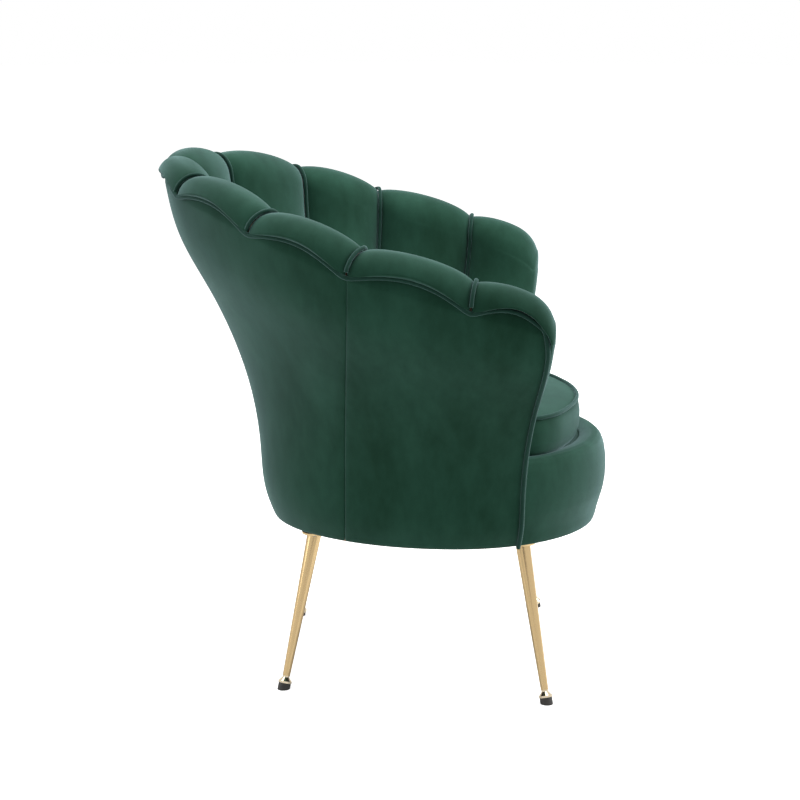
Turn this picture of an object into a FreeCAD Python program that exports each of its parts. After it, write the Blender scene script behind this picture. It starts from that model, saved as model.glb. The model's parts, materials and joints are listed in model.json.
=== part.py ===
import FreeCAD, Part
import math
import os

# Scallop back chair: a round seat inside a shell of ten padded channels, on four tapered metal legs.
# Millimetres. The chair faces -Y, its left is +X, +Z is up and the floor is z = 0.

# Seat base: a round plan, the front a circle and the back half of an ellipse
underside_height = 239.0      # underside of the body above the floor
base_centre_y = -109.0        # centre of the round front of the base
base_half_width = 240.0
base_front_reach = 244.0      # from the centre to the front of the apron
base_back_reach = 296.0       # from the centre to the back of the shell
board_thickness = 15.0        # plywood base board
rail_width = 20.0             # timber rails on the board
rail_height = 92.0
apron_pad = 22.0              # greatest thickness of the padded front apron
apron_half_angle = 63.4       # degrees each side of the front
apron_end_gap = 3.0           # degrees from its ends back to the corners of the board and the deck
rail_half_angle = 48.0        # degrees each side of the front rail's middle
board_notch = 2.0             # corners of the board inside the back of the pads
deck_notch = 9.0              # corners of the deck inside the back of the pads

# Shell: seams sit at whole numbers, 0 at the centre of the back and 5 at the front of an arm
seams_per_side = 5
seam_angles = (0.0, 19.0, 37.5, 56.0, 86.0, 115.5)
welt_x = (0.0, 150.0, 292.0, 366.0, 372.0, 358.0)
welt_y = (342.0, 304.0, 187.0, 44.0, -132.0, -250.0)
welt_z = (775.0, 762.0, 725.0, 674.0, 624.0, 588.0)
crest_x = (0.0, 148.0, 284.0, 343.0, 348.0, 337.0)
crest_y = (326.0, 279.0, 160.0, 22.0, -138.0, -250.0)
crest_z = (798.0, 789.0, 754.0, 709.0, 663.0, 618.0)
flare_height = (0.0, 0.06, 0.2, 0.4, 0.5, 0.7, 0.85, 1.0)
flare_reach = (-0.06, 0.02, 0.08, 0.185, 0.29, 0.60, 0.87, 1.0)
shell_depth = 26.0            # outer cover to the back of the pads, at the base
rim_half_depth = 22.0         # crest to the inner side of the rim
crest_drop = 30.0             # crest down to the inner side of the rim
cover_thickness = 2.5
inner_board = 5.0
inner_board_foot = 2.6        # slanted foot of the inner board over the base board
rim_rail_depth = 0.955        # share of the height where the rim rail starts
rim_rail_gap = 1.1            # rim rail under the pads
rim_cover_gap = 4.4           # rim rail inside the outside of the cover, at the welt
post_width = 0.16             # in seam steps
post_foot = 2.6               # slanted foot of a post over the board

# Channel pads
seam_pad = 5.0                # pad thickness beside a seam
pad_swell = 34.0              # swell at seat height
rim_swell = 14.0              # swell over the crest
edge_swell = 5.0              # swell at the outer edge
edge_rest = 3.0               # degrees over the rim where the outer edge lies at a seam
scallop_rise = 34.0           # degrees that the outer edge climbs between two seams
pad_edge_turn = 9.0           # degrees from the outer edge back to the end of a channel
arm_reach = 12.0              # bulge of the front of an arm
arm_reach_foot = 3.0          # and behind the ends of the apron
arm_full_height = 40.0        # over the deck, where the front of an arm is full
seam_welt_radius = 3.0
rim_welt_radius = 3.5
rim_welt_gap = 1.3            # over the outer cover, at the seams' sharp turns

# Seat
strap_width = 50.0
strap_thickness = 1.5
deck_pad = 19.0
cushion_height = 63.0         # underside to the welt
cushion_crown = 17.0          # welt to the top of the crown
cushion_front_y = -311.0
cushion_corner = (191.0, -247.0)
cushion_side = (182.0, -60.0)
cushion_back_y = 126.0
cushion_welt_radius = 3.2
cushion_welt_inset = 5.0      # cushion's edge under the welt, in from its widest
cushion_welt_tilt = 47.0      # degrees up from level that the welt stands out at the corner
cushion_welt_join = 1.2       # between the two ends of the welt, at the back

# Legs and glides
plate_radius = 20.5
plate_thickness = 3.0
dust_cover = 1.0
leg_top_radius = 11.5
leg_end_radius = 5.8
front_leg_angle = 121.03      # degrees round the base from the back
front_leg_inset = 36.0        # from the outside of the base to the middle of the plate
front_leg_splay = (70.0, -38.0)
rear_leg_angle = 35.42
rear_leg_inset = 30.2
rear_leg_splay = (63.0, 47.0)
glide_height = 21.0           # end of the leg to the floor, along the leg
glide_radius = 10.5
glide_pad = 6.0               # dark moulded base
pad_inset = 0.8               # edge of the moulded base inside the glide's rim
glide_flange = 3.0            # thickness of the glide's rim
glide_collar = 2.0            # height of the collar against the leg
stem_radius = 3.0
stem_length = 20.0
bush_length = 22.0
bush_wall = 1.2               # wall of the leg round the bush
screw_radius = 2.0
screw_head_radius = 3.4
screw_head_height = 1.9
screw_length = 14.0
screw_circle = 16.5

# Clearances
soft_gap = 0.5
fit_gap = 0.2
thread_gap = 0.08             # stem of a glide in its bush, each side
leg_end_gap = 0.4             # collar of a glide below the end of the leg

V = FreeCAD.Vector
UP = V(0, 0, 1)
END = float(seams_per_side)


def natural(xs, ys):
    """Natural cubic through the given points, as a function."""
    n = len(xs)
    h = [xs[i + 1] - xs[i] for i in range(n - 1)]
    lo, di, up, rh = [0.0] * n, [1.0] * n, [0.0] * n, [0.0] * n
    for i in range(1, n - 1):
        lo[i], di[i], up[i] = h[i - 1], 2 * (h[i - 1] + h[i]), h[i]
        rh[i] = 6 * ((ys[i + 1] - ys[i]) / h[i] - (ys[i] - ys[i - 1]) / h[i - 1])
    for i in range(1, n):
        k = lo[i] / di[i - 1]
        di[i] -= k * up[i - 1]
        rh[i] -= k * rh[i - 1]
    m = [0.0] * n
    for i in range(n - 1, -1, -1):
        m[i] = (rh[i] - (up[i] * m[i + 1] if i < n - 1 else 0.0)) / di[i]

    def value(x):
        i = 0
        while i < n - 2 and x > xs[i + 1]:
            i += 1
        a, b = xs[i + 1] - x, x - xs[i]
        return ((m[i] * a ** 3 + m[i + 1] * b ** 3) / (6 * h[i])
                + (ys[i] / h[i] - m[i] * h[i] / 6) * a + (ys[i + 1] / h[i] - m[i + 1] * h[i] / 6) * b)
    return value


def both_sides(values, odd=False):
    """Values for the seams of one side, carried over to both sides."""
    sign = -1.0 if odd else 1.0
    steps = [float(i) for i in range(-seams_per_side, seams_per_side + 1)]
    return natural(steps, [sign * v for v in values[:0:-1]] + list(values))


angle_at = both_sides(seam_angles, odd=True)
flare = natural(flare_height, flare_reach)
wx, wy, wz = both_sides(welt_x, odd=True), both_sides(welt_y), both_sides(welt_z)
kx, ky, kz = both_sides(crest_x, odd=True), both_sides(crest_y), both_sides(crest_z)


def base_at(degrees):
    """Outside of the base at an angle from the back."""
    a = math.radians(degrees)
    reach = base_back_reach if math.cos(a) > 0 else base_front_reach
    return V(base_half_width * math.sin(a), base_centre_y + reach * math.cos(a), underside_height)


def base_line(t):
    """Outside of the base under seam step t."""
    return base_at(angle_at(t))


def welt_line(t):
    return V(wx(t), wy(t), wz(t))


def crest_line(t):
    return V(kx(t), ky(t), kz(t))


def outward(line, t):
    """Level direction out of a line that runs round the chair."""
    d = line(t + 0.02) - line(t - 0.02)
    return V(-d.y, d.x, 0).normalize()


def mix(a, b, k):
    return a + (b - a) * k


def outer_raw(t, h):
    a, b = base_line(t), welt_line(t)
    p = mix(a, b, flare(h))
    return V(p.x, p.y, a.z + (b.z - a.z) * h)


def inner_raw(t, h):
    a = base_line(t) - outward(base_line, t) * shell_depth
    b = crest_line(t) - outward(crest_line, t) * rim_half_depth
    p = mix(a, b, flare(h))
    return V(p.x, p.y, underside_height + (kz(t) - crest_drop - underside_height) * h)


def arch_raw(t, turn):
    """Over the rim: 0 degrees at the outer welt, 90 on the crest, 180 at the inner side."""
    k, w = crest_line(t), welt_line(t)
    a = math.radians(turn)
    if turn <= 90:
        p = k + (w - k) * math.cos(a)
        return V(p.x, p.y, w.z + (k.z - w.z) * math.sin(a))
    p = k - outward(crest_line, t) * (rim_half_depth * -math.cos(a))
    return V(p.x, p.y, k.z - crest_drop * (1 - math.sin(a)))


def core(t, s):
    """Back of the pads: s from 0 to 1 up the inner side, from 1 to 2 over the rim to the outer welt."""
    return inner_raw(t, s) if s <= 1 else arch_raw(t, 180 * (2 - s))


def cover(t, s):
    """Outside of the shell: s from 0 to 1 up to the lowest welt, from 1 on over the rim."""
    return outer_raw(t, s) if s <= 1 else arch_raw(t, 180 * (s - 1))


def normal(surface, t, s):
    """Unit normal: to the seat and up over the rim on the pads' side, into the shell on the cover."""
    e = 0.012
    a = surface(t + e, s) - surface(t - e, s)
    b = surface(t, s + e) - surface(t, s - e)
    return a.cross(b).normalize()


def core_at(t, s, out=0.0):
    """Point out millimetres in front of the back of the pads."""
    return core(t, s) + normal(core, t, s) * out


def cover_at(t, s, inside=0.0):
    """Point inside millimetres under the outside of the shell."""
    return cover(t, s) + normal(cover, t, s) * inside


def inner_level(t, z):
    return (z - underside_height) / (kz(t) - crest_drop - underside_height)


def outer_level(t, z):
    return (z - underside_height) / (wz(t) - underside_height)


def spline_poles(points, params):
    curve = Part.BSplineCurve()
    curve.interpolate(Points=points, Parameters=params)
    return curve


def skin(grid, us, vs):
    """Smooth surface through a grid of points, at the given steps both ways."""
    rows = [spline_poles([col[j] for col in grid], us) for j in range(len(vs))]
    poles = [row.getPoles() for row in rows]
    cols = [spline_poles([poles[j][i] for j in range(len(vs))], vs) for i in range(len(poles[0]))]
    surface = Part.BSplineSurface()
    surface.buildFromPolesMultsKnots([c.getPoles() for c in cols], rows[0].getMultiplicities(),
                                     cols[0].getMultiplicities(), rows[0].getKnots(), cols[0].getKnots(),
                                     False, False, rows[0].Degree, cols[0].Degree)
    return surface


def steps(lengths):
    out = [0.0]
    for d in lengths:
        out.append(out[-1] + d)
    return [x / out[-1] for x in out]


def block(point, nu, nv):
    """Solid between the two skins point(u, v, 0) and point(u, v, 1), closed by ruled edges."""
    grids = [[[point(i / nu, j / nv, w) for j in range(nv + 1)] for i in range(nu + 1)] for w in (0, 1)]
    us = [i / nu for i in range(nu + 1)]
    across = (0, nu // 2, nu)
    vs = steps([sum((g[i][j + 1] - g[i][j]).Length for g in grids for i in across) for j in range(nv)])
    skins = [skin(g, us, vs) for g in grids]
    faces = [s.toShape() for s in skins]
    for k in (0, 1):
        faces.append(Part.makeRuledSurface(*[s.uIso(s.bounds()[k]).toShape() for s in skins]))
        faces.append(Part.makeRuledSurface(*[s.vIso(s.bounds()[2 + k]).toShape() for s in skins]))
    shell = Part.makeShell(faces)
    shell.sewShape()
    solid = Part.makeSolid(shell if shell.ShapeType == "Shell" else shell.Shells[0])
    if solid.Volume < 0:
        solid.reverse()
    return solid


def tube(points, sides, radius):
    """Round welt through the points, each with the direction that its section starts on."""
    rings = []
    for i, p in enumerate(points):
        d = (points[min(i + 1, len(points) - 1)] - points[max(i - 1, 0)]).normalize()
        a = (sides[i] - d * sides[i].dot(d)).normalize()
        b = d.cross(a)
        turns = [math.pi * k / 6 for k in range(13)]
        rings.append([p + (a * math.cos(q) + b * math.sin(q)) * radius for q in turns])
    us = [k / 6 for k in range(7)]
    vs = steps([(points[i + 1] - points[i]).Length for i in range(len(points) - 1)])
    halves = [skin([[ring[first + k] for ring in rings] for k in range(7)], us, vs) for first in (0, 6)]
    faces = [h.toShape() for h in halves]
    for k in (0, 1):
        faces.append(Part.Face(Part.Wire([h.vIso(h.bounds()[2 + k]).toShape() for h in halves])))
    shell = Part.makeShell(faces)
    shell.sewShape()
    solid = Part.makeSolid(shell if shell.ShapeType == "Shell" else shell.Shells[0])
    if solid.Volume < 0:
        solid.reverse()
    return solid


def ramp(x, xs, ys):
    """Straight steps between the given values, level past the last."""
    for i in range(len(xs) - 1):
        if x <= xs[i + 1]:
            return ys[i] + (ys[i + 1] - ys[i]) * (x - xs[i]) / (xs[i + 1] - xs[i])
    return ys[-1]


# Heights that follow from the sizes above
board_top = underside_height + board_thickness
rail_top = board_top + rail_height
strap_top = rail_top + 2 * strap_thickness + fit_gap
deck_top = strap_top + deck_pad
pad_foot = deck_top + soft_gap
cushion_bottom = deck_top + soft_gap
welt_height = cushion_bottom + cushion_height
rim_start = rim_rail_depth
struct_end = END - 0.06       # boards, rails and posts stop here, behind the front of an arm
cover_end = END - 0.04
apron_inner = base_front_reach - apron_pad


def edge_turn(t):
    """Turn over the rim at which the outer welt lies, low at the seams and high between them."""
    return edge_rest + scallop_rise * math.sin(math.pi * (t - math.floor(t)))


def swell(s):
    """Swell of a channel from the deck, up the inner side and over the rim."""
    return ramp(s, (0.0, 0.35, 0.7, 1.0, 1.25, 1.5, 1.8, 2.0),
                (0.8 * pad_swell, pad_swell, pad_swell, 0.75 * pad_swell, 1.3 * rim_swell, rim_swell,
                 0.7 * rim_swell + 0.3 * edge_swell, edge_swell))


def bow(u, arm):
    """Share of the swell across a channel, from seam to seam, or on to the front of an arm."""
    if arm:
        return 1 - (1 - u / 0.55) ** 2 if u < 0.55 else 1 - 0.55 * ((u - 0.55) / 0.45) ** 2
    return 1 - (2 * u - 1) ** 2


def pad_stop(t):
    """Where a channel ends at the outer welt."""
    return 2 - (edge_turn(t) + pad_edge_turn) / 180


parts = {}
side_name = {1: "left", -1: "right"}
lobe_step = 0.006             # half of the gap between two channels, in seam steps


def mirrored(solid):
    return solid.mirror(V(0, 0, 0), V(1, 0, 0))


# Channel pads: up the inner side, over the rim and down to the outer welt
def channel(first, arm):
    t0, t1 = first + lobe_step, first + (1 - lobe_step if not arm else 1 - 0.02)
    start = inner_level(first + 0.5, pad_foot)

    def point(u, v, w):
        t = t0 + (t1 - t0) * u
        low, last = inner_level(t, pad_foot), pad_stop(t)
        s = ramp(v * 15, (0, 8, 13, 15), (low, 1.0, 1.625, last))
        return core_at(t, s, (seam_pad + swell(s) * bow((t - first) if arm else u, arm)) if w else 0.0)
    return block(point, 8, 15)


# Rounded front of an arm, from the outer cover round to the inner side
def arm_front():
    ahead = outward(welt_line, END - 0.1).cross(UP)
    deck_level, full_level = inner_level(END, pad_foot), inner_level(END, pad_foot + arm_full_height)

    def inner_edge(s):
        full = seam_pad + swell(s) * bow(1, True) - 1.0
        return ramp(s, (deck_level, full_level), (-1.0, full)) if s > deck_level else -1.0

    def point(u, v, w):
        step = v * 12
        rise = min(1.0, 0.012 + 0.988 * step / 9)
        turn = max(0.0, step - 9) * 25.0
        if step <= 9:
            a = cover_at(END - 0.015, rise, 0.3)
            b = core_at(END - 0.02, max(rise, 0.02), inner_edge(max(rise, 0.02)))
        else:
            a = core_at(END - 0.02, 2 - turn / 180, seam_pad * 0.9 * min(1, turn / 25))
            b = core_at(END - 0.02, 1 + turn / 180, inner_edge(1 + turn / 180))
        p = mix(a, b, u)
        if not w:
            return p - ahead * 2.0
        reach = ramp(max(rise, deck_level), (deck_level, full_level), (arm_reach_foot, arm_reach))
        return p + ahead * (reach * (1 - 0.5 * turn / 75) * (1 - (2 * u - 1) ** 2) + 0.5)
    return block(point, 6, 12)


for i in range(seams_per_side):
    pad = channel(float(i), i == seams_per_side - 1)
    if i == seams_per_side - 1:
        cap = arm_front()
        pad = pad.fuse(cap).Solids[0]
    parts["channel_pad_left_%d" % (i + 1)] = pad
    parts["channel_pad_right_%d" % (i + 1)] = mirrored(pad)


# Welts in the seams between two channels
def seam_welt(t):
    low, last = inner_level(t, pad_foot) + 0.01, 2 - 20.0 / 180
    points, sides = [], []
    for j in range(15):
        s = low + (1 - low) * j / 7 if j < 8 else 1 + (last - 1) * (j - 7) / 7
        width = (core(t + 0.5, s) - core(t - 0.5, s)).Length
        slope = math.atan(4 * swell(s) / width)
        points.append(core_at(t, s, seam_pad + (seam_welt_radius + soft_gap) / math.cos(slope)))
        sides.append(normal(core, t, s))
    return tube(points, sides, seam_welt_radius)


parts["channel_welt_centre"] = seam_welt(0.0)
for i in range(1, seams_per_side):
    welt = seam_welt(float(i))
    parts["channel_welt_left_%d" % i] = welt
    parts["channel_welt_right_%d" % i] = mirrored(welt)


# Welt round the outer edge of the shell and down the fronts of the arms
def rim_welt():
    per = 6
    points, sides = [], []
    lift = rim_welt_radius + rim_welt_gap

    def add(t, s):
        points.append(cover_at(t, s, -lift))
        sides.append(normal(cover, t, s))
    down = [0.012, 0.15, 0.3, 0.45, 0.6, 0.75, 0.87, 0.95]
    for h in down:
        add(-END + 0.045, h)
    for j in range(2 * seams_per_side * per + 1):
        t = -END + j / per
        if abs(t) > END - 0.1:
            continue
        add(t, 1 + edge_turn(t) / 180)
    for h in reversed(down):
        add(END - 0.045, h)
    return tube(points, sides, rim_welt_radius)


parts["rim_welt"] = rim_welt()


# Outer cover: a back panel between the third seams and a panel on each side
def panel(t0, t1, nu):
    def point(u, v, w):
        t = t0 + (t1 - t0) * u
        s = ramp(v * 15, (0, 12, 15), (0.0, 0.93, 1 + (edge_turn(t) + edge_rest) / 180))
        return cover_at(t, s, cover_thickness if w else 0.0)
    return block(point, nu, 15)


split = 3.0
seam_half = 0.004
parts["outer_back_panel"] = panel(-split + seam_half, split - seam_half, 36)
parts["outer_side_panel_left"] = panel(split + seam_half, cover_end, 12)
parts["outer_side_panel_right"] = mirrored(parts["outer_side_panel_left"])


# Inner board of bent plywood behind the pads
def inner_shell():
    def point(u, v, w):
        t = -struct_end + 2 * struct_end * u
        low = inner_level(t, board_top + inner_board_foot)
        return core_at(t, mix(low, rim_start - 0.003, v), -(soft_gap + (inner_board if w else 0.0)))
    return block(point, 48, 10)


parts["inner_back_board"] = inner_shell()


# Rim rail, a curved timber in three lengths under the padded rim
def rim_rail(t0, t1, nu):
    def point(u, v, w):
        t = t0 + (t1 - t0) * u
        if not w:
            a = core_at(t, rim_start, -rim_rail_gap)
            b = cover_at(t, rim_start, rim_cover_gap)
            return mix(a, b, v)
        turn = math.radians(180 * (1 - v))
        depth = rim_rail_gap + (rim_cover_gap - rim_rail_gap) * max(0.0, math.cos(turn)) ** 0.5
        return core_at(t, 1 + v, -depth)
    return block(point, nu, 8)


parts["rim_rail_back"] = rim_rail(-2.6, 2.6, 36)
parts["rim_rail_left"] = rim_rail(2.603, struct_end, 18)
parts["rim_rail_right"] = mirrored(parts["rim_rail_left"])


# Posts between the base board and the rim rail
def post(t):
    def point(u, v, w):
        tt = t + post_width * (u - 0.5)
        z = board_top + post_foot
        if w:
            return cover_at(tt, mix(outer_level(tt, z), rim_start - 0.004, v), cover_thickness + soft_gap)
        return core_at(tt, mix(inner_level(tt, z), rim_start - 0.004, v), -(2 * soft_gap + inner_board))
    return block(point, 2, 10)


for name, t in (("back", 1.0), ("side", 3.0), ("arm", struct_end - post_width / 2)):
    wood = post(t)
    parts["%s_post_left" % name] = wood
    parts["%s_post_right" % name] = mirrored(wood)


# Flat outlines that follow the shell and end in the round front
def outline(z, point, front_radius, notch):
    """Closed wire at height z, its corners drawn in by the notch to clear the fronts of the arms."""
    count = 32
    pts = [point(-struct_end + 2 * struct_end * k / count) for k in range(count + 1)]
    pts = [V(p.x, p.y, z) for p in pts]
    curve = Part.BSplineCurve()
    curve.interpolate(pts)
    a = math.radians(apron_half_angle - apron_end_gap)
    right = V(-front_radius * math.sin(a), base_centre_y - front_radius * math.cos(a), z)
    left = V(-right.x, right.y, z)
    front = V(0, base_centre_y - front_radius, z)
    inner = core(struct_end, max(0.0, inner_level(struct_end, z))) - outward(base_line, struct_end) * notch
    down = [pts[-1], V(inner.x, inner.y, z), left]
    up = [right, V(-inner.x, inner.y, z), pts[0]]
    return Part.Wire([curve.toShape()] + [Part.makeLine(p, q) for p, q in zip(down, down[1:])]
                     + [Part.Arc(left, front, right).toShape()]
                     + [Part.makeLine(p, q) for p, q in zip(up, up[1:])])


def slab(wire, height):
    return Part.Face(wire).extrude(V(0, 0, height))


board = slab(outline(underside_height, lambda t: cover_at(t, 0.0, cover_thickness + 1.0),
                     apron_inner - fit_gap, board_notch), board_thickness)


# Timber rails on the board, inside the inner board
def seat_rail(t0, t1, nu):
    def point(u, v, w):
        t = t0 + (t1 - t0) * u
        z = board_top + fit_gap + (rail_height - fit_gap) * v
        return core(t, inner_level(t, z)) - outward(base_line, t) * (fit_gap + (rail_width if w else 0.0))
    return block(point, nu, 3)


rail_back = seat_rail(-2.0, 2.0, 24)
rail_left = seat_rail(2.02, struct_end, 20)
parts["seat_rail_back"] = rail_back
parts["seat_rail_left"] = rail_left
parts["seat_rail_right"] = mirrored(rail_left)


def sector(r0, r1, z0, z1, half_angle):
    a = math.radians(half_angle)

    def at(r, k):
        return V(r * math.sin(k * a), base_centre_y - r * math.cos(k * a), z0)
    inner_arc = Part.Arc(at(r0, -1), at(r0, 0), at(r0, 1)).toShape()
    outer_arc = Part.Arc(at(r1, 1), at(r1, 0), at(r1, -1)).toShape()
    wire = Part.Wire([inner_arc, Part.makeLine(at(r0, 1), at(r1, 1)),
                      outer_arc, Part.makeLine(at(r1, -1), at(r0, -1))])
    return slab(wire, z1 - z0)


parts["seat_rail_front"] = sector(apron_inner - fit_gap - rail_width, apron_inner - fit_gap,
                                  board_top, rail_top, rail_half_angle)


# Padded apron across the front of the seat base
def apron():
    a = math.radians(90 - apron_half_angle)
    bottom, top = V(apron_inner, 0, underside_height), V(apron_inner, 0, deck_top)
    swell_point = V(base_front_reach, 0, mix(underside_height, deck_top, 0.52))
    face = Part.Face(Part.Wire([Part.makeLine(bottom, top), Part.Arc(top, swell_point, bottom).toShape()]))
    face.translate(V(0, base_centre_y, 0))
    axis = V(0, base_centre_y, 0)
    face.rotate(axis, UP, -90 - apron_half_angle)
    return face.revolve(axis, UP, 2 * apron_half_angle)


parts["seat_apron"] = apron()


# Webbing straps over the rails: one layer along the seat and one across
def straps(across):
    solids = []
    z = rail_top + fit_gap / 2 + (strap_thickness + fit_gap / 2 if across else 0.0)
    for k in (-1.5, -0.5, 0.5, 1.5):
        mid = k * strap_width * 1.55
        if across:
            y = base_centre_y + 55.0 + mid
            solids.append(Part.makeBox(2 * strap_half_x(y), strap_width, strap_thickness,
                                       V(-strap_half_x(y), y - strap_width / 2, z)))
        else:
            y0, y1 = strap_ends_y(mid)
            solids.append(Part.makeBox(strap_width, y1 - y0, strap_thickness,
                                       V(mid - strap_width / 2, y0, z)))
    return Part.makeCompound(solids)


def strap_half_x(y):
    """Half of the width inside the shell at y, less the clearance, for a strap across."""
    best = 1e9
    for edge in (y - strap_width / 2, y + strap_width / 2):
        for k in range(200):
            t = END * k / 200
            p = core_at(t, inner_level(t, rail_top), 3.0)
            if p.y <= edge:
                best = min(best, p.x)
                break
        else:
            r = apron_inner - 2.0
            best = min(best, math.sqrt(max(1.0, r * r - (edge - base_centre_y) ** 2)))
    return best


def strap_ends_y(x):
    reach = abs(x) + strap_width / 2
    r = apron_inner - 2.0
    front = base_centre_y - math.sqrt(r * r - reach * reach)
    back = 1e9
    for k in range(300):
        t = END * k / 300
        p = core_at(t, inner_level(t, rail_top), 2.0)
        back = p.y
        if p.x >= reach:
            break
    return front, back


parts["webbing_long"] = straps(False)
parts["webbing_cross"] = straps(True)

# Seat deck: a thin fabric covered pad on the webbing
parts["deck_pad"] = slab(outline(strap_top, lambda t: core_at(t, inner_level(t, strap_top), 0.8),
                                 apron_inner - fit_gap, deck_notch), deck_pad)


# Loose seat cushion: drawn in at the foot, crowned on top, with a welt round the upper edge
cushion_centre_y = (cushion_front_y + cushion_back_y) / 2


def cushion_half():
    """Half of the outline, from the middle of the back by the left side to the middle of the front."""
    sx, sy = cushion_side
    cx, cy = cushion_corner
    deep = cushion_back_y - sy
    rise = cy - cushion_front_y
    turns = [math.radians(a) for a in (0, 18, 36, 54, 72)]
    pts = [(sx * math.sin(a), sy + deep * math.cos(a)) for a in turns]
    pts += [(sx, sy), (mix(sx, cx, 0.4), mix(sy, cy, 0.33)), (mix(sx, cx, 0.7), mix(sy, cy, 0.66)),
            (cx - 1.0, cy + 28.0), (cx - 12.0, cy + 2.0)]
    pts += [(cx * k, cushion_front_y + rise * k * k) for k in (0.8, 0.6, 0.4, 0.2)]
    return pts + [(0.0, cushion_front_y)]


def cushion_loop(z, inset):
    half = cushion_half()
    loop = half + [(-x, y) for x, y in half[-2:0:-1]]
    k = (cushion_side[0] - inset) / cushion_side[0]
    return [V(x * k, cushion_centre_y + (y - cushion_centre_y) * k, z) for x, y in loop]


def closed_curve(points, params):
    curve = Part.BSplineCurve()
    curve.interpolate(Points=points, PeriodicFlag=True, Parameters=params)
    return curve


def cushion():
    side = ((0, 7), (0.12, 3.5), (0.35, 0.5), (0.65, 0), (0.9, 2), (1, cushion_welt_inset))
    crown = ((0.28, 14), (0.6, 32), (0.85, 62), (0.97, 100), (1, 140))
    levels = [(cushion_bottom + cushion_height * h, i) for h, i in side]
    levels += [(welt_height + cushion_crown * h, i) for h, i in crown]
    loops = [cushion_loop(z, i) for z, i in levels]
    us = steps([(loops[2][(k + 1) % len(loops[2])] - p).Length for k, p in enumerate(loops[2])])
    vs = steps([(loops[j + 1][7] - loops[j][7]).Length for j in range(len(loops) - 1)])
    rows = [closed_curve(loop, us) for loop in loops]
    poles = [row.getPoles() for row in rows]
    cols = [spline_poles([poles[j][i] for j in range(len(vs))], vs) for i in range(len(poles[0]))]
    surface = Part.BSplineSurface()
    surface.buildFromPolesMultsKnots([c.getPoles() for c in cols], rows[0].getMultiplicities(),
                                     cols[0].getMultiplicities(), rows[0].getKnots(), cols[0].getKnots(),
                                     True, False, rows[0].Degree, cols[0].Degree)
    faces = [surface.toShape()]
    for k in (0, 1):
        faces.append(Part.Face(Part.Wire([surface.vIso(surface.bounds()[2 + k]).toShape()])))
    shell = Part.makeShell(faces)
    shell.sewShape()
    solid = Part.makeSolid(shell if shell.ShapeType == "Shell" else shell.Shells[0])
    if solid.Volume < 0:
        solid.reverse()
    return solid


parts["seat_cushion"] = cushion()


def cushion_welt():
    pts = cushion_loop(welt_height, cushion_welt_inset)
    out = []
    for k, p in enumerate(pts):
        d = pts[(k + 1) % len(pts)] - pts[k - 1]
        n = d.cross(UP).normalize()
        if n.dot(p - V(0, cushion_centre_y, welt_height)) < 0:
            n = n * -1
        lift = cushion_welt_radius + soft_gap
        tilt = math.radians(cushion_welt_tilt)
        out.append((p + n * (lift * math.cos(tilt)) + UP * (lift * math.sin(tilt)), n))
    step = (out[1][0] - out[0][0]).normalize() * (cushion_welt_join / 2)
    loop = [(out[0][0] + step, out[0][1])] + out[1:] + [(out[0][0] - step, out[0][1])]
    return tube([p for p, n in loop], [n for p, n in loop], cushion_welt_radius)


parts["seat_cushion_welt"] = cushion_welt()


# Legs: a tapered tube welded to a round plate, with a threaded bush in its end and a screw-in glide
def leg_set(angle, inset, splay):
    edge = base_at(angle)
    inward = V(-edge.x, base_centre_y - edge.y, 0).normalize()
    head = edge + inward * inset - UP * dust_cover
    ground = V(head.x + splay[0], head.y + splay[1], 0.0)
    axis = (ground - head).normalize()
    length = (ground - head).Length - glide_height
    end = head + axis * length
    far = 2 * underside_height
    plate = Part.makeCylinder(plate_radius, plate_thickness, head - UP * plate_thickness)
    lean = math.atan2(-inward.y, -inward.x)
    turns = [lean + math.radians(k) for k in (60, 180, 300)]
    spots = [head + V(math.cos(a), math.sin(a), 0) * screw_circle for a in turns]
    holes = [Part.makeCylinder(screw_radius + fit_gap, 3 * board_thickness, p - UP * board_thickness)
             for p in spots]
    for hole in holes:
        plate = plate.cut(hole)
    screws = []
    for p in spots:
        under = p - UP * plate_thickness
        shank = Part.makeCylinder(screw_radius, screw_length + fit_gap, under - UP * fit_gap)
        screws.append(shank.fuse(Part.makeCone(screw_radius, screw_head_radius, screw_head_height,
                                               under - UP * screw_head_height)))
    overrun = 2 * plate_radius
    grow = (leg_top_radius - leg_end_radius) / length
    leg = Part.makeCone(leg_top_radius + grow * overrun, leg_end_radius, length + overrun,
                        head - axis * overrun, axis)
    leg = leg.cut(Part.makeBox(2 * far, 2 * far, far, head - V(far, far, plate_thickness)))
    bush_radius = leg_end_radius - bush_wall
    leg = leg.cut(Part.makeCylinder(bush_radius + fit_gap / 2, bush_length + plate_thickness,
                                    end + axis * plate_thickness, axis * -1))
    bush = Part.makeCylinder(bush_radius, bush_length, end, axis * -1)
    bush = bush.cut(Part.makeCylinder(stem_radius + thread_gap, bush_length + 2 * glide_collar,
                                      end + axis * glide_collar, axis * -1))
    neck = leg_end_radius - leg_end_gap
    stem = Part.makeCylinder(stem_radius, stem_length + glide_collar, end + axis * glide_collar, axis * -1)
    collar = Part.makeCylinder(neck, glide_collar, end + axis * leg_end_gap, axis)
    slope = math.acos(-axis.z)
    rest = glide_height - glide_pad - glide_radius * math.tan(slope)
    under_collar = leg_end_gap + glide_collar
    cone = Part.makeCone(neck, glide_radius, rest - under_collar - glide_flange,
                         end + axis * under_collar, axis)
    flange = Part.makeCylinder(glide_radius, glide_flange, end + axis * (rest - glide_flange), axis)
    glide = stem.fuse([collar, cone, flange]).removeSplitter()
    pad = Part.makeCylinder(glide_radius - pad_inset, 3 * glide_height, end + axis * rest, axis)
    pad = pad.cut(Part.makeBox(2 * far, 2 * far, far, ground - V(far, far, far)))
    return {"leg": leg, "plate": plate, "bush": bush, "glide": glide, "pad": pad,
            "screws": screws, "holes": holes, "ground": ground, "axis": axis}


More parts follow.
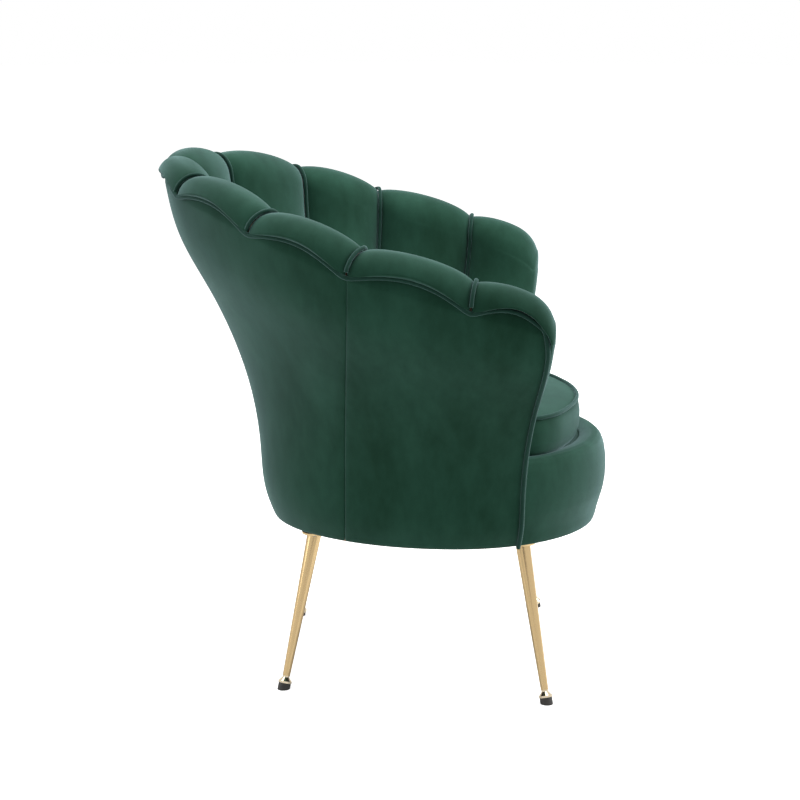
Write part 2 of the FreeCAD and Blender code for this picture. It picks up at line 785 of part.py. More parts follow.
plates, bushes, screws, holes = [], [], [], []
for name, angle, inset, splay in (("front", front_leg_angle, front_leg_inset, front_leg_splay),
                                  ("rear", rear_leg_angle, rear_leg_inset, rear_leg_splay)):
    made = leg_set(angle, inset, splay)
    print(name, "foot", made["ground"], "axis", made["axis"])
    for sign in (1, -1):
        flip = mirrored if sign < 0 else (lambda s: s)
        parts["leg_%s_%s" % (name, side_name[sign])] = flip(made["leg"])
        parts["glide_%s_%s" % (name, side_name[sign])] = flip(made["glide"])
        parts["glide_pad_%s_%s" % (name, side_name[sign])] = flip(made["pad"])
        plates.append(flip(made["plate"]))
        bushes.append(flip(made["bush"]))
        screws += [flip(s) for s in made["screws"]]
        holes += [flip(h) for h in made["holes"]]
parts["leg_plates"] = Part.makeCompound(plates)
parts["leg_bushes"] = Part.makeCompound(bushes)
parts["plate_screws"] = Part.makeCompound(screws)

# Base board and the dust cover under it, drilled for the leg screws
lining = slab(outline(underside_height - dust_cover, lambda t: cover_at(t, 0.0, cover_thickness + 4.0),
                      apron_inner - 4.0, board_notch), dust_cover)
for hole in holes:
    board = board.cut(hole)
    lining = lining.cut(hole)
parts["base_board"] = board
parts["dust_cover"] = lining

os.makedirs("parts", exist_ok=True)
for name in sorted(parts):
    shape = parts[name]
    print("%-24s %-9s valid %s solids %d faces %d volume %.0f" % (
        name, shape.ShapeType, shape.isValid(), len(shape.Solids), len(shape.Faces), shape.Volume))
    shape.exportStep("parts/%s.step" % name)
box = Part.makeCompound(list(parts.values())).BoundBox
print("nodes", len(parts), "box", box)
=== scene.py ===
import json
import logging
import math
from collections import Counter
from dataclasses import dataclass
from enum import Enum
from functools import lru_cache, partial
from typing import Callable, Iterable, Sequence

import bpy
from mathutils import Matrix, Vector, noise

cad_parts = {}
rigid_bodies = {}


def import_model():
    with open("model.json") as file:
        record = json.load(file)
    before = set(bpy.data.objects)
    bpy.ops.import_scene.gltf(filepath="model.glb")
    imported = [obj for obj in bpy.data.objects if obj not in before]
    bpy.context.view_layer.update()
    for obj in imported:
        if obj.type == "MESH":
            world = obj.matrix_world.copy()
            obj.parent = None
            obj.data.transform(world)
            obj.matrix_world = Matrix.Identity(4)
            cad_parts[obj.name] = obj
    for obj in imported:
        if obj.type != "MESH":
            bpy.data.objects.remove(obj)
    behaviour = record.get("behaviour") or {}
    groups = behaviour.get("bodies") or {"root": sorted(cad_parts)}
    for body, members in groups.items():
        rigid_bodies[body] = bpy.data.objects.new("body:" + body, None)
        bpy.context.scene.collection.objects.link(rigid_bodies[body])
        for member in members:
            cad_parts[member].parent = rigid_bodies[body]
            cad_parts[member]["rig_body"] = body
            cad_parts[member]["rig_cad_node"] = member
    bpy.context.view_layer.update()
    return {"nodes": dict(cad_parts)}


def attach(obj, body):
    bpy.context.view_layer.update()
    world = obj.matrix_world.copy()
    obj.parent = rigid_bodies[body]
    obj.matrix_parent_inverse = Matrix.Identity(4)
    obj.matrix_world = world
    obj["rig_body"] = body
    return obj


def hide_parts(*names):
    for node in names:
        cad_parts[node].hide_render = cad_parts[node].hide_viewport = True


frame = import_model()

LOG = logging.getLogger("chair")
MM = 0.001
UP = Vector((0.0, 0.0, 1.0))
HALF_TURN = 180.0
CREST = 1.5

Place = Callable[[float, float], Vector]
Color = tuple[float, float, float]
Piece = bpy.types.Object
Material = bpy.types.Material
Tree = bpy.types.NodeTree
Node = bpy.types.Node
Socket = bpy.types.NodeSocket


class Side(Enum):
    """The two sides of the chair, as the sitter sees them."""

    LEFT = 1
    RIGHT = -1

    @property
    def word(self) -> str:
        """Name of the side as the nodes use it."""
        return self.name.lower()


class Detail(Enum):
    """How much simulation a piece gets."""

    QUICK = 0
    FULL = 1

    @staticmethod
    def now() -> "Detail":
        return Detail.FULL


# Curves through the seams


def natural(xs: Sequence[float], ys: Sequence[float]) -> Callable[[float], float]:
    """Natural cubic through the given points.

    Args:
        xs: Rising places of the points.
        ys: Values there.

    Returns:
        The curve as a function.
    """
    n = len(xs)
    h = [xs[i + 1] - xs[i] for i in range(n - 1)]
    low, mid, top, right = [0.0] * n, [1.0] * n, [0.0] * n, [0.0] * n
    for i in range(1, n - 1):
        low[i], mid[i], top[i] = h[i - 1], 2 * (h[i - 1] + h[i]), h[i]
        right[i] = 6 * ((ys[i + 1] - ys[i]) / h[i] - (ys[i] - ys[i - 1]) / h[i - 1])
    for i in range(1, n):
        k = low[i] / mid[i - 1]
        mid[i] -= k * top[i - 1]
        right[i] -= k * right[i - 1]
    bend = [0.0] * n
    for i in range(n - 1, -1, -1):
        bend[i] = (right[i] - (top[i] * bend[i + 1] if i < n - 1 else 0.0)) / mid[i]

    def value(x: float) -> float:
        """Height of the curve at x."""
        i = 0
        while i < n - 2 and x > xs[i + 1]:
            i += 1
        a, b = xs[i + 1] - x, x - xs[i]
        return ((bend[i] * a ** 3 + bend[i + 1] * b ** 3) / (6 * h[i])
                + (ys[i] / h[i] - bend[i] * h[i] / 6) * a
                + (ys[i + 1] / h[i] - bend[i + 1] * h[i] / 6) * b)
    return value


def both_sides(values: Sequence[float], odd: bool = False) -> Callable[[float], float]:
    """Curve over the seams of both sides from the values of one side.

    Args:
        values: One value for each seam, from the centre of the back to the front of an arm.
        odd: Whether the value changes sign with the side.

    Returns:
        The curve over seam steps from minus the last to the last.
    """
    last = len(values) - 1
    sign = -1.0 if odd else 1.0
    places = [float(i) for i in range(-last, last + 1)]
    return natural(places, [sign * v for v in values[:0:-1]] + list(values))


def ramp(x: float, xs: Sequence[float], ys: Sequence[float]) -> float:
    """Straight steps between the given values, level outside them."""
    if x <= xs[0]:
        return ys[0]
    for i in range(len(xs) - 1):
        if x <= xs[i + 1]:
            return ys[i] + (ys[i + 1] - ys[i]) * (x - xs[i]) / (xs[i + 1] - xs[i])
    return ys[-1]


def ease(x: float) -> float:
    """Smooth step from 0 to 1."""
    x = min(1.0, max(0.0, x))
    return x * x * (3 - 2 * x)


@dataclass(frozen=True)
class ShellForm:
    """The chair's shell as two surfaces over seam step t and height s, in millimetres."""

    underside: float = 239.0
    base_centre_y: float = -109.0
    base_half_width: float = 240.0
    base_front_reach: float = 244.0
    base_back_reach: float = 296.0
    seam_angles: tuple[float, ...] = (0.0, 19.0, 37.5, 56.0, 86.0, 115.5)
    welt_x: tuple[float, ...] = (0.0, 150.0, 292.0, 366.0, 372.0, 358.0)
    welt_y: tuple[float, ...] = (342.0, 304.0, 187.0, 44.0, -132.0, -250.0)
    welt_z: tuple[float, ...] = (775.0, 762.0, 725.0, 674.0, 624.0, 588.0)
    crest_x: tuple[float, ...] = (0.0, 148.0, 284.0, 343.0, 348.0, 337.0)
    crest_y: tuple[float, ...] = (326.0, 279.0, 160.0, 22.0, -138.0, -250.0)
    crest_z: tuple[float, ...] = (798.0, 789.0, 754.0, 709.0, 663.0, 618.0)
    flare_height: tuple[float, ...] = (0.0, 0.06, 0.2, 0.4, 0.5, 0.7, 0.85, 1.0)
    flare_reach: tuple[float, ...] = (-0.06, 0.02, 0.08, 0.185, 0.29, 0.60, 0.87, 1.0)
    shell_depth: float = 26.0
    rim_half_depth: float = 22.0
    crest_drop: float = 30.0
    seam_pad: float = 5.0
    pad_swell: float = 34.0
    rim_swell: float = 14.0
    edge_swell: float = 5.0
    edge_rest: float = 3.0
    scallop_rise: float = 34.0
    deck_top: float = 368.2

    @property
    def end(self) -> float:
        """Seam step at the front of an arm."""
        return float(len(self.seam_angles) - 1)

    @lru_cache(maxsize=None)
    def curve(self, name: str) -> Callable[[float], float]:
        """One of the form's curves over the seam steps, or the flare over the height."""
        if name == "flare":
            return natural(self.flare_height, self.flare_reach)
        return both_sides(getattr(self, name), odd=name.endswith("_x") or name == "seam_angles")

    @lru_cache(maxsize=None)
    def base_line(self, t: float) -> Vector:
        """Outside of the base under seam step t."""
        a = math.radians(self.curve("seam_angles")(t))
        reach = self.base_back_reach if math.cos(a) > 0 else self.base_front_reach
        return Vector((self.base_half_width * math.sin(a), self.base_centre_y + reach * math.cos(a),
                       self.underside))

    @lru_cache(maxsize=None)
    def welt_line(self, t: float) -> Vector:
        """Line that the outer welt swings about."""
        return Vector([self.curve(n)(t) for n in ("welt_x", "welt_y", "welt_z")])

    @lru_cache(maxsize=None)
    def crest_line(self, t: float) -> Vector:
        """Top of the frame under the rim's pads."""
        return Vector([self.curve(n)(t) for n in ("crest_x", "crest_y", "crest_z")])

    @lru_cache(maxsize=None)
    def outward(self, line: str, t: float) -> Vector:
        """Level direction out of one of the lines that run round the chair."""
        at = getattr(self, line)
        d = at(t + 0.02) - at(t - 0.02)
        return Vector((-d.y, d.x, 0.0)).normalized()

    def ahead(self) -> Vector:
        """Level direction to the front at the end of an arm."""
        return self.outward("welt_line", self.end - 0.1).cross(UP)

    def outer(self, t: float, h: float) -> Vector:
        """Outer cover at share h of the height up to the outer welt's line."""
        a, b = self.base_line(t), self.welt_line(t)
        p = a.lerp(b, self.curve("flare")(h))
        return Vector((p.x, p.y, a.z + (b.z - a.z) * h))

    def inner(self, t: float, h: float) -> Vector:
        """Back of the pads on the seat's side at share h of the height."""
        a = self.base_line(t) - self.outward("base_line", t) * self.shell_depth
        b = self.crest_line(t) - self.outward("crest_line", t) * self.rim_half_depth
        p = a.lerp(b, self.curve("flare")(h))
        top = self.crest_line(t).z - self.crest_drop
        return Vector((p.x, p.y, self.underside + (top - self.underside) * h))

    def arch(self, t: float, turn: float) -> Vector:
        """Over the rim: 0 degrees at the outer welt, 90 on the crest and 180 at the inner side."""
        k, w = self.crest_line(t), self.welt_line(t)
        a = math.radians(turn)
        if turn <= 90:
            p = k + (w - k) * math.cos(a)
            return Vector((p.x, p.y, w.z + (k.z - w.z) * math.sin(a)))
        p = k + self.outward("crest_line", t) * (self.rim_half_depth * math.cos(a))
        return Vector((p.x, p.y, k.z - self.crest_drop * (1 - math.sin(a))))

    @lru_cache(maxsize=None)
    def core(self, t: float, s: float) -> Vector:
        """Back of the pads: s from 0 to 1 up the inner side, 1 to 2 over the rim to the outer welt."""
        return self.inner(t, s) if s <= 1 else self.arch(t, 180 * (2 - s))

    @lru_cache(maxsize=None)
    def cover(self, t: float, s: float) -> Vector:
        """Outside of the shell: s from 0 to 1 up to the lowest welt, from 1 on over the rim."""
        return self.outer(t, s) if s <= 1 else self.arch(t, 180 * (s - 1))

    def normal(self, surface: str, t: float, s: float) -> Vector:
        """Unit normal: to the seat and over the rim on the pads' side, into the shell on the cover."""
        at, e = getattr(self, surface), 0.012
        a = at(t + e, s) - at(t - e, s)
        b = at(t, s + e) - at(t, s - e)
        return a.cross(b).normalized()

    def core_at(self, t: float, s: float, out: float) -> Vector:
        """Point in front of the back of the pads."""
        return self.core(t, s) + self.normal("core", t, s) * out

    def cover_at(self, t: float, s: float, inside: float) -> Vector:
        """Point under the outside of the shell."""
        return self.cover(t, s) + self.normal("cover", t, s) * inside

    def inner_level(self, t: float, z: float) -> float:
        """Height z as a share on the pads' side."""
        return (z - self.underside) / (self.crest_line(t).z - self.crest_drop - self.underside)

    def outer_level(self, t: float, z: float) -> float:
        """Height z as a share on the outer cover."""
        return (z - self.underside) / (self.welt_line(t).z - self.underside)

    def edge_turn(self, t: float) -> float:
        """Turn over the rim at which the outer welt lies, low at the seams and high between them."""
        return self.edge_rest + self.scallop_rise * math.sin(math.pi * (t - math.floor(t)))

    def swell(self, s: float) -> float:
        """Swell of a channel from the deck, up the inner side and over the rim."""
        return ramp(s, (0.0, 0.35, 0.7, 1.0, 1.25, 1.5, 1.8, 2.0),
                    (0.8 * self.pad_swell, self.pad_swell, self.pad_swell, 0.75 * self.pad_swell,
                     1.3 * self.rim_swell, self.rim_swell,
                     0.7 * self.rim_swell + 0.3 * self.edge_swell, self.edge_swell))


FORM = ShellForm()


# Modelling by hand: primitives placed, shaped and finished


def deselect() -> None:
    """Nothing is selected or in edit mode afterwards."""
    if bpy.context.object and bpy.context.object.mode != "OBJECT":
        bpy.ops.object.mode_set(mode="OBJECT")
    bpy.ops.object.select_all(action="DESELECT")


def only(piece: Piece) -> Piece:
    """Makes a piece the one that operators act on."""
    deselect()
    piece.select_set(True)
    bpy.context.view_layer.objects.active = piece
    return piece


def in_edit_mode(piece: Piece, *steps: Callable[[], object]) -> Piece:
    """Runs edit mode steps with the whole piece selected.

    Args:
        piece: The piece.
        steps: Operators, in their order.

    Returns:
        The piece.
    """
    only(piece)
    bpy.ops.object.mode_set(mode="EDIT")
    bpy.ops.mesh.select_all(action="SELECT")
    for step in steps:
        step()
    bpy.ops.object.mode_set(mode="OBJECT")
    return piece


def apply_modifier(piece: Piece, kind: str, **settings: object) -> Piece:
    """Puts a modifier on a piece and applies it.

    Args:
        piece: The piece.
        kind: The modifier's type.
        settings: Its settings by name.

    Returns:
        The piece.
    """
    only(piece)
    modifier = piece.modifiers.new(kind.lower(), kind)
    for key, value in settings.items():
        setattr(modifier, key, value)
    bpy.ops.object.modifier_apply(modifier=modifier.name)
    return piece


def flat_grid(name: str, columns: int, rows: int) -> Piece:
    """Flat grid of one metre whose vertices are still to be placed."""
    deselect()
    bpy.ops.mesh.primitive_grid_add(x_subdivisions=columns, y_subdivisions=rows, size=1.0)
    piece = bpy.context.object
    piece.name = piece.data.name = name
    return piece


def place_vertices(piece: Piece, at: Callable[[Vector], Vector]) -> None:
    """Moves each vertex to where a function of its place puts it, in millimetres."""
    for v in piece.data.vertices:
        v.co = at(v.co.copy()) * MM
    piece.data.update()


def sheet_over(name: str, at: Place, columns: int, rows: int, outside: Vector | None = None) -> Piece:
    """Grid drawn over a surface.

    Args:
        name: Name of the new piece.
        at: Point of the surface for u and v from 0 to 1, in millimetres.
        columns: Faces along u.
        rows: Faces along v.
        outside: A point on the side that the faces look away from, in metres.

    Returns:
        The new piece, an open sheet.
    """
    piece = flat_grid(name, columns, rows)
    place_vertices(piece, lambda c: at(min(1.0, max(0.0, c.x + 0.5)), min(1.0, max(0.0, c.y + 0.5))))
    if outside is not None and sum(f.normal.dot(f.center - outside) for f in piece.data.polygons) < 0:
        turn_inside_out(piece)
    return piece


def turn_inside_out(piece: Piece) -> None:
    """Flips every face."""
    in_edit_mode(piece, bpy.ops.mesh.flip_normals)


def merge(piece: Piece, within: float) -> Piece:
    """Merges vertices that lie on each other."""
    return in_edit_mode(piece, partial(bpy.ops.mesh.remove_doubles, threshold=within))


def face_outwards(piece: Piece) -> Piece:
    """Turns the faces of a closed piece outwards."""
    return in_edit_mode(piece, partial(bpy.ops.mesh.normals_make_consistent, inside=False))


def join(pieces: Sequence[Piece], name: str) -> Piece:
    """Joins pieces into the first one."""
    deselect()
    for p in pieces:
        p.select_set(True)
    bpy.context.view_layer.objects.active = pieces[0]
    bpy.ops.object.join()
    pieces[0].name = pieces[0].data.name = name
    return pieces[0]


def open_edges(piece: Piece) -> set[tuple[int, int]]:
    """Edges that only one face uses."""
    uses = Counter(key for f in piece.data.polygons for key in f.edge_keys)
    return {key for key, n in uses.items() if n == 1}


def border(piece: Piece) -> set[int]:
    """Vertices on the open edges of a sheet."""
    return {v for key in open_edges(piece) for v in key}


def back_up(front: Piece, back: Piece, name: str) -> Piece:
    """Joins a front and a back sheet of the same border into one closed piece.

    Args:
        front: The visible side.
        back: The hidden side.
        name: Name of the closed piece.

    Returns:
        The closed piece.
    """
    piece = only(join([front, back], name))
    bpy.ops.object.mode_set(mode="EDIT")
    bpy.ops.mesh.select_mode(type="VERT")
    bpy.ops.mesh.select_all(action="DESELECT")
    bpy.ops.object.mode_set(mode="OBJECT")
    edges, corners = open_edges(piece), border(piece)
    for e in piece.data.edges:
        e.select = tuple(sorted(e.vertices)) in edges
    for v in piece.data.vertices:
        v.select = v.index in corners
    bpy.ops.object.mode_set(mode="EDIT")
    bpy.ops.mesh.select_mode(type="EDGE")
    bpy.ops.mesh.bridge_edge_loops()
    bpy.ops.object.mode_set(mode="OBJECT")
    return face_outwards(piece)


def subdivide(piece: Piece) -> Piece:
    """Smooths a piece by one level of subdivision surface."""
    return apply_modifier(piece, "SUBSURF", levels=1, render_levels=1)


def add_wall(piece: Piece, thickness: float) -> Piece:
    """Gives a sheet a thickness behind it, in millimetres."""
    return apply_modifier(piece, "SOLIDIFY", thickness=thickness * MM, offset=-1.0)


def shade(piece: Piece, angle: float) -> Piece:
    """Shades a piece smooth, with edges sharper than the angle left crisp."""
    only(piece)
    bpy.ops.object.shade_smooth_by_angle(angle=math.radians(angle))
    return piece


def even_out(piece: Piece, held: set[int], rounds: int = 6) -> None:
    """Evens a skin inside its held border."""
    free = piece.vertex_groups.new(name="free")
    free.add([v.index for v in piece.data.vertices if v.index not in held], 1.0, "REPLACE")
    apply_modifier(piece, "SMOOTH", factor=0.5, iterations=rounds, vertex_group=free.name)
    piece.vertex_groups.clear()


def mirrored(piece: Piece, name: str) -> Piece:
    """Copy of a piece on the other side of the chair, with its own mesh."""
    mesh = piece.data.copy()
    mesh.name = name
    mesh.transform(Matrix.Diagonal((-1.0, 1.0, 1.0, 1.0)))
    mesh.flip_normals()
    other = bpy.data.objects.new(name, mesh)
    bpy.context.scene.collection.objects.link(other)
    return other


@dataclass(frozen=True)
class Stuffing:
    """How the stuffing fills a padded skin, by cloth simulation."""

    pressure: float = 4.0
    frames: int = 20
    cap: float = 6.0
    quality: int = 6
    mass: float = 0.3
    damping: float = 2.0
    stretch: float = 20.0
    shear: float = 10.0
    bending: float = 4.0

    def fill(self, piece: Piece, held: Iterable[int]) -> None:
        """Blows a skin out between its held vertices.

        Args:
            piece: The skin, its faces outwards.
            held: Vertices that stay where they are, along the seams.
        """
        if Detail.now() is Detail.QUICK:
            return
        only(piece)
        rest = [v.co.copy() for v in piece.data.vertices]
        pins = piece.vertex_groups.new(name="pins")
        pins.add(list(held), 1.0, "REPLACE")
        cloth = piece.modifiers.new("stuffing", "CLOTH")
        cloth.point_cache.frame_start, cloth.point_cache.frame_end = 1, self.frames
        s = cloth.settings
        s.quality, s.mass, s.air_damping = self.quality, self.mass, self.damping
        s.tension_stiffness = s.compression_stiffness = self.stretch
        s.shear_stiffness, s.bending_stiffness = self.shear, self.bending
        s.vertex_group_mass = pins.name
        s.use_pressure, s.uniform_pressure_force = True, self.pressure
        s.effector_weights.gravity = 0.0
        cloth.collision_settings.use_collision = False
        cloth.collision_settings.use_self_collision = False
        scene = bpy.context.scene
        for f in range(1, self.frames + 1):
            scene.frame_set(f)
        bpy.ops.object.modifier_apply(modifier=cloth.name)
        scene.frame_set(1)
        limit = self.cap * MM
        for v, r in zip(piece.data.vertices, rest):
            move = v.co - r
            if move.length > limit:
                v.co = r + move * (limit / move.length)
        piece.vertex_groups.clear()
        piece.data.update()


def tube_along(name: str, path: Sequence[Vector], radius: float, turns: int = 14,
               closed: bool = False, wobble: float = 0.0) -> Piece:
    """Round welt along a smooth path.

    Args:
        name: Name of the new piece.
        path: Points of the path, in millimetres.
        radius: Radius of the welt, in millimetres.
        turns: Sides of its section.
        closed: Whether the path runs back to its start.
        wobble: How far the section breathes along the path, as the cord shows through.

    Returns:
        The welt, closed at its ends.
    """
    n = len(path)
    rings: list[list[Vector]] = []
    side = Vector((0.0, 0.0, 1.0))
    for i, p in enumerate(path):
        a = path[(i - 1) % n] if closed or i else p
        b = path[(i + 1) % n] if closed or i < n - 1 else p
        d = (b - a).normalized()
        side = (side - d * side.dot(d)).normalized()
        up = d.cross(side)
        r = radius * (1 + wobble * noise.noise(p * 0.05))
        rings.append([p + (side * math.cos(q) + up * math.sin(q)) * r
                      for q in (2 * math.pi * k / turns for k in range(turns))])
    rows = n if closed else n - 1
    piece = flat_grid(name, turns, rows)

    def at(c: Vector) -> Vector:
        """Place on the welt for a corner of the flat grid."""
        k = int(round((c.x + 0.5) * turns)) % turns
        j = int(round((c.y + 0.5) * rows))
        return rings[j % n][k]

    place_vertices(piece, at)
    merge(piece, 0.00002)
    if not closed:
        only(piece)
        bpy.ops.object.mode_set(mode="EDIT")
        bpy.ops.mesh.select_mode(type="EDGE")
        bpy.ops.mesh.select_all(action="DESELECT")
        bpy.ops.mesh.select_non_manifold()
        bpy.ops.mesh.fill_holes(sides=turns)
        bpy.ops.object.mode_set(mode="OBJECT")
    face_outwards(piece)
    return shade(piece, 60.0)


# Finishes


def node_group(name: str, inputs: dict[str, tuple[str, object]], outputs: dict[str, str]) -> Tree:
    """New shader node group with named sockets.

    Args:
        name: Name of the group.
        inputs: Socket types and starting values by name.
        outputs: Socket types by name.

    Returns:
        The group, with its input and output nodes in it.
    """
    tree = bpy.data.node_groups.new(name, "ShaderNodeTree")
    for key, (kind, value) in inputs.items():
        tree.interface.new_socket(key, in_out="INPUT", socket_type=kind).default_value = value
    for key, kind in outputs.items():
        tree.interface.new_socket(key, in_out="OUTPUT", socket_type=kind)
    tree.nodes.new("NodeGroupInput").name = "in"
    tree.nodes.new("NodeGroupOutput").name = "out"
    return tree


def add_node(tree: Tree, kind: str, links: dict | None = None, values: dict | None = None,
             **settings: object) -> Node:
    """Adds a shader node.

    Args:
        tree: The tree that gets it.
        kind: Its type after the word ShaderNode.
        links: Sockets that lead into its inputs.
        values: Fixed values of its inputs.
        settings: Its own settings.

    Returns:
        The node.
    """
    node = tree.nodes.new("ShaderNode" + kind)
    for key, value in settings.items():
        setattr(node, key, value)
    set_inputs(tree, node, links or {}, values or {})
    return node


def set_inputs(tree: Tree, node: Node, links: dict, values: dict) -> None:
    """Links and sets a node's inputs."""
    for key, value in values.items():
        node.inputs[key].default_value = value
    for key, socket in links.items():
        tree.links.new(socket, node.inputs[key])


def add_noise(tree: Tree, place: Socket, scale: float, detail: float, rough: float = 0.5) -> Socket:
    """Noise over a place, with fixed numbers."""
    return add_node(tree, "TexNoise", {"Vector": place},
                    {"Scale": scale, "Detail": detail, "Roughness": rough}).outputs["Fac"]


def add_range(tree: Tree, value: Socket, **bounds: float) -> Socket:
    """Maps a value between bounds, named as the node's inputs with an underscore for each space."""
    named = {key.replace("_", " "): bound for key, bound in bounds.items()}
    return add_node(tree, "MapRange", {"Value": value}, named).outputs["Result"]


def add_math(tree: Tree, operation: str, a: Socket, b: Socket, use_clamp: bool = False) -> Socket:
    """Sum or product of two values."""
    return add_node(tree, "Math", {0: a, 1: b}, operation=operation, use_clamp=use_clamp).outputs[0]


def two_tone(tree: Tree, factor: Socket, first: Color, second: Color) -> Socket:
    """Blend of two colours."""
    return add_node(tree, "Mix", {"Factor": factor}, {"A": (*first, 1.0), "B": (*second, 1.0)},
                    data_type="RGBA").outputs["Result"]


def stretched(tree: Tree, place: Socket, scale: Color) -> Socket:
    """Place with its axes scaled."""
    return add_node(tree, "Mapping", {"Vector": place}, {"Scale": scale}).outputs["Vector"]


@lru_cache(maxsize=None)
def pile_group() -> Tree:
    """Pile of velvet: cloudy nap where the hairs lean differently, and a fine grain of hair tips."""
    tree = node_group("velvet_pile",
                      {"Vector": ("NodeSocketVector", (0.0, 0.0, 0.0)),
                       "Dark": ("NodeSocketColor", (0.0, 0.0, 0.0, 1.0)),
                       "Light": ("NodeSocketColor", (1.0, 1.0, 1.0, 1.0)),
                       "Cloud": ("NodeSocketFloat", 0.5)},
                      {"Color": "NodeSocketColor", "Roughness": "NodeSocketFloat",
                       "Height": "NodeSocketFloat"})
    start = tree.nodes["in"].outputs
    lean = stretched(tree, start["Vector"], (1.0, 1.0, 0.45))
    broad = add_noise(tree, lean, 9.0, 3.0)
    brush = add_noise(tree, lean, 46.0, 4.0, 0.6)
    tips = add_noise(tree, start["Vector"], 1400.0, 2.0, 0.7)
    nap = add_node(tree, "Mix", {"A": broad, "B": brush}, {"Factor": 0.35}, data_type="FLOAT")
    level = add_range(tree, nap.outputs["Result"], From_Min=0.34, From_Max=0.66)
    cloud = add_math(tree, "MULTIPLY", level, start["Cloud"])
    grain = add_range(tree, tips, From_Min=0.3, From_Max=0.7, To_Min=-0.06, To_Max=0.06)
    total = add_math(tree, "ADD", cloud, grain, use_clamp=True)
    tones = {"Factor": total, "A": start["Dark"], "B": start["Light"]}
    tint = add_node(tree, "Mix", tones, data_type="RGBA")
    rough = add_range(tree, total, To_Min=0.92, To_Max=0.72)
    set_inputs(tree, tree.nodes["out"],
               {"Color": tint.outputs["Result"], "Roughness": rough, "Height": tips}, {})
    return tree


def new_material(name: str, values: dict | None = None) -> tuple[Material, Tree, Node, Socket]:
    """Material with its tree, its main shader and its object coordinates."""
    mat = bpy.data.materials.new(name)
    mat.use_nodes = True
    tree = mat.node_tree
    shader = tree.nodes["Principled BSDF"]
    set_inputs(tree, shader, {}, values or {})
    return mat, tree, shader, add_node(tree, "TexCoord").outputs["Object"]


def bump(tree: Tree, height: Socket, shader: Node, strength: float, distance: float) -> None:
    """Leads a height into a shader's normal."""
    node = add_node(tree, "Bump", {"Height": height}, {"Strength": strength, "Distance": distance})
    tree.links.new(node.outputs["Normal"], shader.inputs["Normal"])


@dataclass(frozen=True)
class Velvet:
    """Short pile velvet: dark face on, pale at grazing angles, cloudy where the nap leans."""

    name: str = "green_velvet"
    dark: Color = (0.0045, 0.031, 0.0155)
    light: Color = (0.013, 0.062, 0.038)
    cloud: float = 0.8
    sheen: float = 0.50
    sheen_tint: Color = (0.47, 0.70, 0.74)
    sheen_roughness: float = 0.42
    pile: float = 0.25
    gloss: float = 0.12

    def material(self) -> Material:
        """Builds the material."""
        mat, tree, shader, place = new_material(self.name, {
            "Specular IOR Level": self.gloss, "Sheen Weight": self.sheen,
            "Sheen Roughness": self.sheen_roughness, "Sheen Tint": (*self.sheen_tint, 1.0)})
        pile = add_node(tree, "Group", node_tree=pile_group())
        set_inputs(tree, pile, {"Vector": place},
                   {"Dark": (*self.dark, 1.0), "Light": (*self.light, 1.0), "Cloud": self.cloud})
        out = pile.outputs
        set_inputs(tree, shader, {"Base Color": out["Color"], "Roughness": out["Roughness"]}, {})
        bump(tree, out["Height"], shader, self.pile, 0.0004)
        return mat


@dataclass(frozen=True)
class PolishedMetal:
    """Plated steel with faint polishing marks."""

    name: str
    color: Color
    roughness: float = 0.16
    marks: float = 0.05

    def material(self) -> Material:
        """Builds the material."""
        mat, tree, shader, place = new_material(
            self.name, {"Metallic": 1.0, "Base Color": (*self.color, 1.0)})
        fine = add_noise(tree, stretched(tree, place, (1.0, 1.0, 0.05)), 900.0, 3.0, 0.6)
        rough = add_range(tree, fine, To_Min=max(0.02, self.roughness - self.marks),
                          To_Max=self.roughness + self.marks)
        tree.links.new(rough, shader.inputs["Roughness"])
        return mat


@dataclass(frozen=True)
class Moulded:
    """Dark moulded plastic with a fine sparked texture."""

    name: str = "glide_base"
    color: Color = (0.022, 0.020, 0.018)
    roughness: float = 0.5

    def material(self) -> Material:
        """Builds the material."""
        mat, tree, shader, place = new_material(self.name, {"Roughness": self.roughness})
        fine = add_noise(tree, place, 1800.0, 2.0)
        tint = two_tone(tree, fine, tuple(c * 0.8 for c in self.color), tuple(c * 1.25 for c in self.color))
        tree.links.new(tint, shader.inputs["Base Color"])
        bump(tree, fine, shader, 0.3, 0.0002)
        return mat


@dataclass(frozen=True)
class Timber:
    """Raw plywood and softwood: rings drawn out along the piece."""

    name: str = "raw_timber"
    early: Color = (0.56, 0.37, 0.20)
    late: Color = (0.34, 0.19, 0.09)
    roughness: float = 0.7

    def material(self) -> Material:
        """Builds the material."""
        mat, tree, shader, place = new_material(self.name, {"Roughness": self.roughness})
        rings = add_noise(tree, stretched(tree, place, (6.0, 60.0, 60.0)), 1.0, 6.0, 0.62)
        tree.links.new(two_tone(tree, rings, self.early, self.late), shader.inputs["Base Color"])
        bump(tree, rings, shader, 0.2, 0.0004)
        return mat


@dataclass(frozen=True)
class WovenStrap:
    """Plain woven cloth or strap: crossing threads."""

    name: str
    color: Color
    threads: float = 900.0
    roughness: float = 0.9

    def material(self) -> Material:
        """Builds the material."""
        mat, tree, shader, place = new_material(self.name, {"Roughness": self.roughness})
        warp, weft = (add_node(tree, "TexWave", {"Vector": place},
                               {"Scale": self.threads / 6.3, "Distortion": 0.4},
                               bands_direction=way).outputs["Fac"] for way in ("X", "Y"))
        both = add_math(tree, "MULTIPLY", warp, weft)
        tint = two_tone(tree, both, tuple(c * 0.6 for c in self.color), tuple(c * 1.3 for c in self.color))
        tree.links.new(tint, shader.inputs["Base Color"])
        bump(tree, both, shader, 0.4, 0.0003)
        return mat


